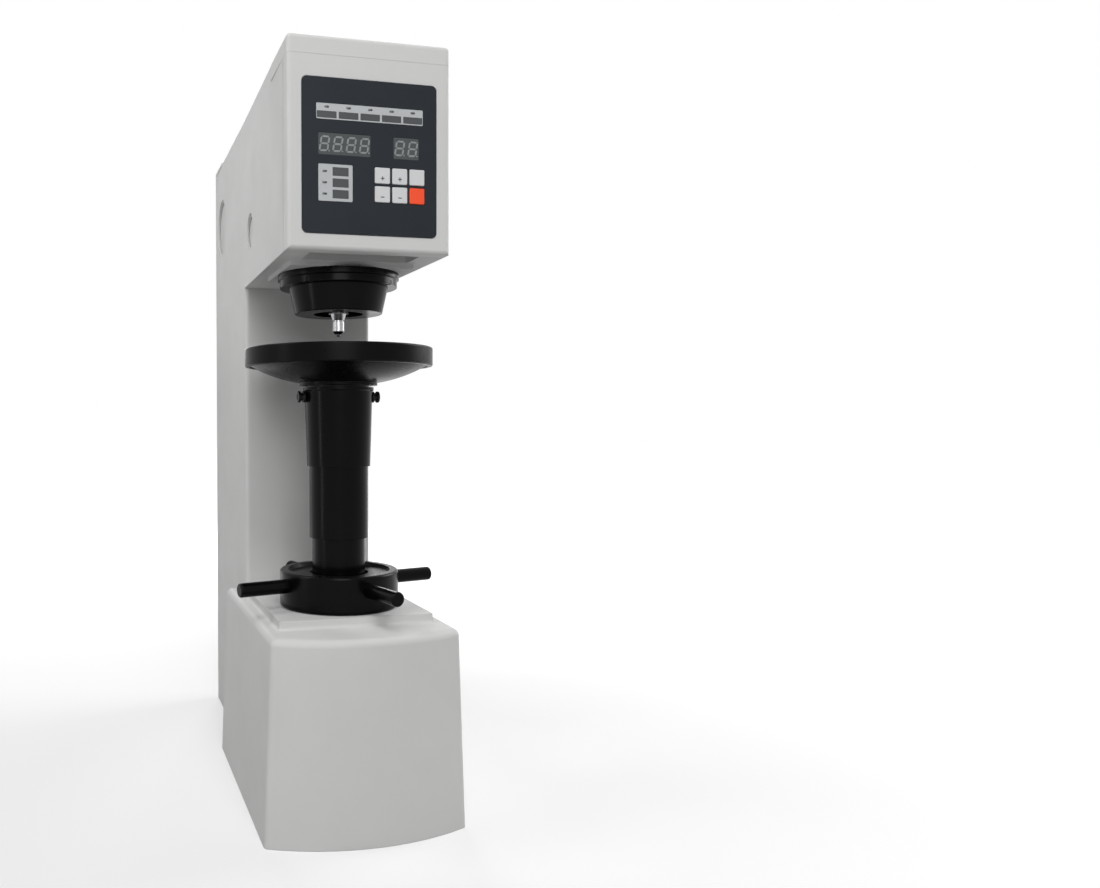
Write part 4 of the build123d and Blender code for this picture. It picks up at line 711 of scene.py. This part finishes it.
@dataclass
class ControlPanel(SubAssembly):
    """The operator's panel: film, windows, unlit digits, lamps and keys."""

    centre_z: float = 643.5
    face_y: float = -112.6
    recess: float = 0.3
    key_y: float = -113.7
    key_pitch: Point = (17.0, 17.4)
    keypad_centre: Point = (28.6, -24.4)
    digit_height: float = 12.8
    digit_width: float = 7.4
    digit_pitch: float = 12.8
    digit_lean: float = 0.16
    stroke: float = 1.8
    stroke_gap: float = 0.30
    point_radius: float = 0.75
    point_gap: float = 1.6
    point_facets: int = 16
    force_digits_at: Point = (-24.8, 10.9)
    time_digits_at: Point = (35.3, 10.9)
    digit_bevel: float = 0.04
    raised: float = 0.12
    window_bevel: float = 0.05
    window_corner: float = 0.5
    lens: Point = (4.6, 1.9)
    lens_height: float = 0.45
    lens_bevel: float = 0.3
    lamp_count: int = 5
    lamp_pitch: float = 20.9
    lamp_window: Point = (18.9, 6.2)
    lamp_window_v: float = 37.6
    lamp_lens_v: float = 44.6
    mode_pitch: float = 10.35
    mode_window: Point = (15.4, 7.9)
    mode_window_at: Point = (-28.7, -24.6)
    mode_lens_u: float = -43.9
    mark_length: float = 3.6
    mark_width: float = 0.9
    mark_corner: float = 0.2
    arm_length: float = 1.4
    arm_at: float = 1.12
    mark_drop: float = 2.6
    mark_from: float = -0.02
    mark_to: float = 0.05
    crisp: float = 12.0

    def facing(self, y: float) -> Facing:
        """Returns the panel's plane at one depth, centred on the panel."""
        origin = Vector((0, y, self.centre_z))
        return Facing(origin, Vector((1, 0, 0)), Vector((0, 0, 1)), Vector((0, -1, 0)))

    def build(self) -> None:
        """Builds and dresses the whole panel."""
        dress = self.wardrobe.dress_nodes
        dress("panel_film", "control_panel")
        dress("display_window", "force_display", "time_display")
        dress("strip_plastic", "lamp_strip", "mode_display")
        dress("circuit_board", "control_board")
        dress("key_grey", "load_up_key", "time_up_key", "clear_key", "load_down_key", "time_down_key")
        dress("key_orange", "start_key")
        self.digits("force_digits", self.force_digits_at, 4)
        self.digits("time_digits", self.time_digits_at, 2)
        places = [(index - (self.lamp_count - 1) / 2) * self.lamp_pitch for index in range(self.lamp_count)]
        self.cells(
            "lamp", self.lamp_window, [(u, self.lamp_window_v) for u in places],
            [(u, self.lamp_lens_v) for u in places],
        )
        u, middle = self.mode_window_at
        rows = [middle + row * self.mode_pitch for row in (1, 0, -1)]
        self.cells("mode", self.mode_window, [(u, v) for v in rows], [(self.mode_lens_u, v) for v in rows])
        self.key_marks()

    def segments(self) -> list[list[Point]]:
        """Outlines of the seven bars of one digit, centred on the digit."""
        half_w, half_h = self.digit_width / 2, self.digit_height / 2
        bar, gap = self.stroke / 2, self.stroke_gap

        def across(v: float) -> list[Point]:
            """Outline of a bar that lies across the digit."""
            end, body = half_w - gap, half_w - gap - bar
            return [(-end, v), (-body, v - bar), (body, v - bar), (end, v), (body, v + bar), (-body, v + bar)]

        def upright(u: float, low: float, high: float) -> list[Point]:
            """Outline of a bar that stands at one side of the digit."""
            foot, top = low + gap, high - gap
            return [
                (u, foot), (u + bar, foot + bar), (u + bar, top - bar),
                (u, top), (u - bar, top - bar), (u - bar, foot + bar),
            ]

        bars = [across(half_h), across(0.0), across(-half_h)]
        for u in (-half_w, half_w):
            bars += [upright(u, 0.0, half_h), upright(u, -half_h, 0.0)]
        return [[(u + v * self.digit_lean, v) for u, v in outline] for outline in bars]

    def digits(self, name: str, middle: Point, count: int) -> None:
        """Builds the unlit digits of one display, each with its point.

        Args:
            name: Name of the piece.
            middle: Middle of the display, across and up the panel.
            count: Number of digits.
        """
        mesh = Mesh()
        face = self.facing(self.face_y + self.recess)
        u, v = middle
        foot = self.digit_height / 2
        for index in range(count):
            offset = (index - (count - 1) / 2) * self.digit_pitch
            for outline in self.segments():
                mesh.plate(face, outline, (u + offset, v), 0.0, self.raised, self.digit_bevel)
            point_u = u + offset + self.digit_width / 2 + self.point_gap - foot * self.digit_lean
            dot = outline_of_circle(self.point_radius, self.point_facets)
            mesh.plate(face, dot, (point_u, v - foot), 0.0, self.raised, self.digit_bevel)
        self.fit(mesh.finish(name, self.crisp), "machine", "display_window", "unlit_segment")

    def cells(self, name: str, window: Point, windows: Sequence[Point], lenses: Sequence[Point]) -> None:
        """Builds a group of blank label windows and the lenses of its lamps.

        Args:
            name: First word of the names of both pieces.
            window: Width and height of a window.
            windows: Middles of the windows.
            lenses: Middles of the lenses.
        """
        face = self.facing(self.face_y + self.recess)
        labels, lamps = Mesh(), Mesh()
        for middle in windows:
            outline = outline_of_slot(*window, self.window_corner, steps=3)
            labels.plate(face, outline, middle, 0.0, self.raised, self.window_bevel)
        for middle in lenses:
            outline = outline_of_slot(*self.lens, self.lens[1] / 2)
            lamps.plate(face, outline, middle, 0.0, self.lens_height, self.lens_bevel)
        labels_piece = labels.finish(name + "_label_windows", self.crisp)
        self.fit(labels_piece, "machine", "display_window", "label_window")
        self.fit(lamps.finish(name + "_lenses"), "machine", "display_window", "unlit_lamp")

    def key_marks(self) -> None:
        """Prints a plus on the upper load and time keys, and a minus on the lower ones."""
        face = self.facing(self.key_y)
        middle_u, middle_v = self.keypad_centre
        width, start, end = self.mark_width, self.mark_from, self.mark_to
        for row, way in enumerate(("up", "down")):
            for column, what in enumerate(("load", "time")):
                key = f"{what}_{way}_key"
                u = middle_u + (column - 1) * self.key_pitch[0]
                v = middle_v + (0.5 - row) * self.key_pitch[1] - self.mark_drop
                mesh = Mesh()
                bar = outline_of_slot(self.mark_length, width, self.mark_corner, steps=2)
                mesh.plate(face, bar, (u, v), start, end)
                if way == "up":
                    for side in (-1, 1):
                        arm = outline_of_slot(width, self.arm_length, self.mark_corner / 2, steps=2)
                        mesh.plate(face, arm, (u, v + side * self.arm_at), start, end)
                self.fit(mesh.finish(key + "_mark", self.crisp), key, "black_plastic", "print_dark")


@dataclass
class LoadingHead(SubAssembly):
    """The indenter guard, the spindle with its indenter, and the load train inside the head."""

    spring_wire: float = 1.6
    spring_turns: int = 4
    spring_steps: int = 36
    wire_sides: int = 12
    spindle_travel: float = 2.0

    def build(self) -> None:
        """Dresses the head's own parts and builds the return spring."""
        dress = self.wardrobe.dress_nodes
        dress("black_enamel", "guard_flange", "guard_cup")
        dress("black_oxide_steel", "guard_screws")
        dress("bright_steel", "main_spindle", "lever_pivot_pin")
        dress("polished_chrome", "indenter_holder")
        dress("bright_steel", "indenter_ball")
        dress("bronze", "spindle_bush", "load_nut")
        dress("machined_steel", "load_lever", "pull_link", "lever_bracket", "load_screw", "motor_shelf")
        dress("aluminium_cell", "load_cell")
        dress("motor_grey", "load_motor")
        self.return_spring()

    def return_spring(self) -> None:
        """Builds the return spring between collar and bracket, which rides on the spindle."""
        low, high = node_box("spindle_spring")
        wire = self.spring_wire * MM
        radius, foot, rise = (high.x - low.x) / 2 - wire, low.z + wire, high.z - low.z - 2 * wire
        section = outline_of_circle(wire, self.wire_sides)
        mesh = Mesh()
        steps = self.spring_turns * self.spring_steps
        rings = []
        for step in range(steps + 1):
            angle = 2 * math.pi * step / self.spring_steps
            across, along, level = math.cos(angle), math.sin(angle), foot + rise * step / steps
            rings.append(mesh.ring(
                ((radius + out) * across, (radius + out) * along, level + up) for out, up in section
            ))
        for lower, upper in zip(rings, rings[1:]):
            mesh.bridge(lower, upper)
        mesh.work.faces.new(rings[0])
        mesh.work.faces.new(rings[-1])
        spring = mesh.finish("spindle_return_spring")
        self.fit(spring, "spindle", "spring_steel", "spring_steel", ("spindle_spring",))
        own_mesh(spring)


@dataclass
class ElevatingGear(SubAssembly):
    """The anvil on its screw, the telescoping guard, and the capstan handwheel."""

    thumb_seat_x: float = 36.1
    thumb_head: float = 8.2
    thumb_radius: float = 6.0
    thumb_waist: float = 4.2
    rim_chamfer: float = 0.35
    rim_step: float = 0.4
    stem_start_x: float = 32.6
    stem_radius: float = 2.6
    stem_chamfer: float = 0.3
    dish_radius: float = 3.2
    dish_slope: float = 0.3
    dish_depth: float = 0.5
    flutes: int = 28
    facets_of_flute: int = 6
    flute_depth: float = 0.22
    knurl_margin: float = 0.2
    knurl_crisp: float = 50.0

    def build(self) -> None:
        """Dresses the gear and builds the knurled thumb screws."""
        dress = self.wardrobe.dress_nodes
        dress("blued_anvil", "anvil")
        dress("black_enamel", "upper_guard_tube", "middle_guard_tube", "lower_guard_tube", "handwheel_hub")
        dress("black_enamel", "handle_1", "handle_2", "handle_3", "handle_4")
        dress("black_oxide_steel", "elevating_screw")
        dress("bronze", "elevating_nut", "screw_guide")
        dress("machined_steel", "thrust_bearing")
        for name, side in (("thumb_screw_left", -1), ("thumb_screw_right", 1)):
            self.thumb_screw(name, side)

    def thumb_screw(self, name: str, side: int) -> None:
        """Builds one thumb screw with two knurled collars and a dished end.

        Args:
            name: Node that it stands for, which is also its body.
            side: -1 for the left one, 1 for the right one.
        """
        third = self.thumb_head / 3
        seat, top = self.thumb_seat_x, self.thumb_seat_x + self.thumb_head
        outer, waist, rim = self.thumb_radius, self.thumb_waist, self.rim_chamfer
        step, stem, start = outer - self.rim_step, self.stem_radius, self.stem_start_x
        profile = [
            (0.0, start), (stem - self.stem_chamfer, start), (stem, start + self.stem_chamfer), (stem, seat)
        ]
        for foot in (seat, top - third):
            end = foot + third
            profile += [(waist, foot), (step, foot), (outer, foot + rim), (outer, foot + third / 2)]
            profile += [(outer, end - rim), (step, end), (waist, end)]
        bottom = top - self.dish_depth
        dish = self.dish_radius
        profile += [(waist, top), (dish, top), (dish - self.dish_slope, bottom), (0.0, bottom)]
        low, high = node_box(name)

        def knurl(angle: float, height: float) -> float:
            """Depth of the knurl, which lies on the collars alone."""
            into = min(abs(height - foot - third / 2) for foot in (seat, top - third))
            on_collar = into < third / 2 - self.knurl_margin
            return -self.flute_depth * (0.5 + 0.5 * math.cos(angle * self.flutes)) if on_collar else 0.0

        level = Matrix.Translation(Vector((0, 0, (low.z + high.z) / 2)))
        axis = level @ Matrix.Rotation(side * math.pi / 2, 4, "Y")
        mesh = Mesh()
        mesh.lathe(profile, axis, self.flutes * self.facets_of_flute, knurl)
        screw = mesh.finish(name + "_knurled", self.knurl_crisp)
        self.fit(screw, name, "black_oxide_steel", "black_oxide_steel", (name,))


@dataclass
class RearServices(SubAssembly):
    """Screws of the rear cover, and the mains parts on it."""

    screw_rows: int = 4
    head_radius: float = 4.5
    head_height: float = 2.4
    head_facets: int = 48
    rim_share: float = 0.35
    crown_share: float = 0.62
    crown_steps: int = 6
    flat_share: float = 0.985
    cross_half: float = 0.13
    cross_reach: float = 0.62
    cross_ring: float = 1.04
    cross_taper: float = 0.55
    cross_floor: float = 0.25
    shank: tuple[Point, ...] = ((2.5, 0.0), (2.5, 7.4), (2.1, 8.0), (0.0, 8.0))
    shank_facets: int = 20

    def build(self) -> None:
        """Dresses the mains parts and builds the cross-head screws."""
        dress = self.wardrobe.dress_nodes
        dress("black_plastic", "switch_housing", "power_inlet", "fuse_holder", "switch_rocker")
        dress("bright_steel", "inlet_pins")
        dress("transformer_steel", "power_supply")
        self.cover_screws()

    def cross_head(self, mesh: Mesh, axis: Matrix) -> None:
        """Adds the head of one pan-head screw with a cross recess.

        Args:
            mesh: Mesh that takes the head.
            axis: Places the head; its Z runs out of the cover.
        """
        radius, height, share = self.head_radius, self.head_height, self.rim_share
        levels = [(radius, 0.0), (radius, height * share)]
        for step in range(1, self.crown_steps):
            angle = math.radians(90 * step / self.crown_steps)
            reach = self.crown_share + (1.0 - self.crown_share) * math.cos(angle)
            levels.append((radius * reach, height * (share + (1.0 - share) * math.sin(angle))))
        rim, flat = radius * self.cross_reach * self.cross_ring, height * self.flat_share
        levels.append((rim, flat))
        mesh.lathe(levels, axis, self.head_facets)
        ring = mesh.ring(
            axis @ (Vector((u, v, flat)) * MM) for u, v in outline_of_circle(rim, self.head_facets)
        )
        half, end = radius * self.cross_half, radius * self.cross_reach
        cross: list[Vector] = []
        for quarter in range(4):
            turn = Matrix.Rotation(math.radians(90 * quarter), 2)
            cross += [turn @ Vector(point) for point in ((end, -half), (end, half), (half, half))]
        upper, lower = (
            mesh.ring(axis @ (Vector((place.x * size, place.y * size, level)) * MM) for place in cross)
            for size, level in ((1.0, height), (self.cross_taper, height * self.cross_floor))
        )
        mesh.bridge(upper, lower)
        mesh.work.faces.new(lower)
        edges = []
        for loop in (ring, upper):
            for pair in zip(loop, loop[1:] + loop[:1]):
                edges.append(mesh.work.edges.get(pair) or mesh.work.edges.new(pair))
        bmesh.ops.triangle_fill(mesh.work, use_beauty=True, use_dissolve=False, edges=edges)

    def cover_screws(self) -> None:
        """Builds the eight screws of the rear cover in place of the plain ones."""
        mesh = Mesh()
        low, high = (corner / MM for corner in node_box("rear_cover_screws"))
        screw_x, cover_y = high.x - self.head_radius, high.y - self.head_height
        lowest, highest = low.z + self.head_radius, high.z - self.head_radius
        for side in (-1, 1):
            for row in range(self.screw_rows):
                z = lowest + row * (highest - lowest) / (self.screw_rows - 1)
                seat = Matrix.Translation(Vector((side * screw_x, cover_y, z)) * MM)
                self.cross_head(mesh, seat @ Matrix.Rotation(-math.pi / 2, 4, "X"))
                mesh.lathe(self.shank, seat @ Matrix.Rotation(math.pi / 2, 4, "X"), self.shank_facets)
        bmesh.ops.remove_doubles(mesh.work, verts=mesh.work.verts, dist=WELD)
        screws = mesh.finish("rear_cross_screws")
        self.fit(screws, "machine", "bright_steel", "zinc_steel", ("rear_cover_screws",))


@dataclass(frozen=True)
class Softbox:
    """A soft light, placed in millimetres, with its size in metres and its power in watts."""

    name: str
    place: Point3
    target: Point3
    size: Point
    power: float
    spread: float

    def hang(self) -> None:
        """Makes the light and points it at its target."""
        data = bpy.data.lights.new(self.name, "AREA")
        data.spread = math.radians(self.spread)
        data.shape = "RECTANGLE"
        data.size, data.size_y = self.size
        data.energy = self.power
        light = put(self.name, data)
        light.location = Vector(self.place) * MM
        light.rotation_euler = (Vector(self.target) - Vector(self.place)).to_track_quat("-Z", "Y").to_euler()


SOFTBOXES = (
    Softbox("left_softbox", (-1100, 200, 1500), (-75, 120, 600), (0.5, 0.5), 0.80, 60.0),
    Softbox("left_strip", (-1950, -250, 620), (0, 0, 420), (0.16, 1.3), 3.6, 180.0),
    Softbox("front_softbox", (-450, -2350, 1250), (0, 0, 480), (1.2, 1.2), 12.5, 140.0),
    Softbox("high_softbox", (-200, -1500, 2300), (0, 0, 500), (1.0, 1.0), 10.5, 140.0),
    Softbox("top_softbox", (-250, -850, 2700), (0, -50, 100), (1.0, 1.0), 4.5, 150.0),
    Softbox("right_softbox", (2100, 500, 1300), (0, 120, 400), (1.2, 1.2), 15.0, 140.0),
    Softbox("rear_softbox", (250, 2700, 1300), (0, 300, 400), (1.2, 1.2), 19.0, 140.0),
)


@dataclass
class Studio:
    """The floor, the soft lights, the plain background and the camera."""

    position: Point3 = (-257.7, -928.1, 396.3)
    yaw: float = 0.2285
    pitch: float = -0.0219
    roll: float = -0.0030
    focal_px: float = 910.2
    width_px: float = 1100.0
    height_px: float = 888.0
    centre_px: Point = (300.0, 444.0)
    sensor_mm: float = 36.0
    clip: Point = (0.01, 60.0)
    ambient: float = 0.10
    floor_half: float = 14.0
    floor_tone: float = 0.55
    floor_glow: float = 0.42
    glow_near: float = 0.35
    glow_far: float = 2.0

    def build(self) -> None:
        """Builds the whole studio."""
        scene = bpy.context.scene
        scene.view_settings.view_transform = "Standard"
        self.camera()
        self.background()
        self.floor()
        for softbox in SOFTBOXES:
            softbox.hang()

    def camera(self) -> None:
        """Places the camera."""
        data = bpy.data.cameras.new("studio_camera")
        data.sensor_width = self.sensor_mm
        data.lens = self.focal_px / self.width_px * self.sensor_mm
        data.shift_x = (self.width_px / 2 - self.centre_px[0]) / self.width_px
        data.shift_y = (self.centre_px[1] - self.height_px / 2) / self.width_px
        data.clip_start, data.clip_end = self.clip
        camera = put("studio_camera", data)
        level = math.cos(self.pitch)
        ahead = Vector((math.sin(self.yaw) * level, math.cos(self.yaw) * level, math.sin(self.pitch)))
        right = Vector((math.cos(self.yaw), -math.sin(self.yaw), 0.0))
        up = right.cross(ahead)
        tilted_right = right * math.cos(self.roll) + up * math.sin(self.roll)
        tilted_up = up * math.cos(self.roll) - right * math.sin(self.roll)
        turn = Matrix((tilted_right, tilted_up, -ahead)).transposed()
        camera.matrix_world = Matrix.Translation(Vector(self.position) * MM) @ turn.to_4x4()
        bpy.context.scene.camera = camera

    @staticmethod
    def seen_directly(graph: Graph) -> Output:
        """Adds a mask of the rays that come from the camera, a mirror or glass."""
        path = graph.add("ShaderNodeLightPath")
        seen = graph.maths("ADD", path.outputs["Is Camera Ray"], path.outputs["Is Glossy Ray"], clamp=True)
        return graph.maths("ADD", seen, path.outputs["Is Transmission Ray"], clamp=True)

    def background(self) -> None:
        """Makes a white background that lights the object softly."""
        world = bpy.data.worlds.new("studio_world")
        graph = Graph.emptied(world)
        strength = graph.span(self.seen_directly(graph), 0.0, 1.0, self.ambient, 1.0)
        shade = graph.add("ShaderNodeBackground", WHITE, strength)
        graph.add("ShaderNodeOutputWorld", shade.outputs[0])
        bpy.context.scene.world = world

    def floor(self) -> None:
        """Lays a plain pale floor that keeps the object's shadow and fades into the background."""
        mesh = bpy.data.meshes.new("studio_floor")
        half = self.floor_half
        corners = [(-half, -half, 0), (half, -half, 0), (half, half, 0), (-half, half, 0)]
        mesh.from_pydata(corners, [], [(0, 1, 2, 3)])
        floor = put("studio_floor", mesh)
        material = bpy.data.materials.new("studio_floor")
        graph = Graph.emptied(material)
        matte = graph.add("ShaderNodeBsdfDiffuse", (self.floor_tone,) * 3 + (1.0,))
        away = graph.vector("LENGTH", graph.place())["Value"]
        level = graph.span(away, self.glow_near, self.glow_far, self.floor_glow, 1.0)
        strength = graph.maths("MULTIPLY", self.seen_directly(graph), level)
        glow = graph.add("ShaderNodeEmission", WHITE, strength)
        both = graph.add("ShaderNodeAddShader", matte.outputs[0], glow.outputs[0])
        graph.add("ShaderNodeOutputMaterial", both.outputs[0])
        floor.data.materials.append(material)


def main() -> None:
    """Builds the sub-assemblies in order, then the studio."""
    logging.basicConfig(level=logging.INFO, format="%(message)s")
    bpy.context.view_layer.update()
    wardrobe = Wardrobe()
    for part in (CastFrame, ControlPanel, LoadingHead, ElevatingGear, RearServices):
        part(wardrobe).build()
    Studio().build()


if __name__ == "__main__":
    main()
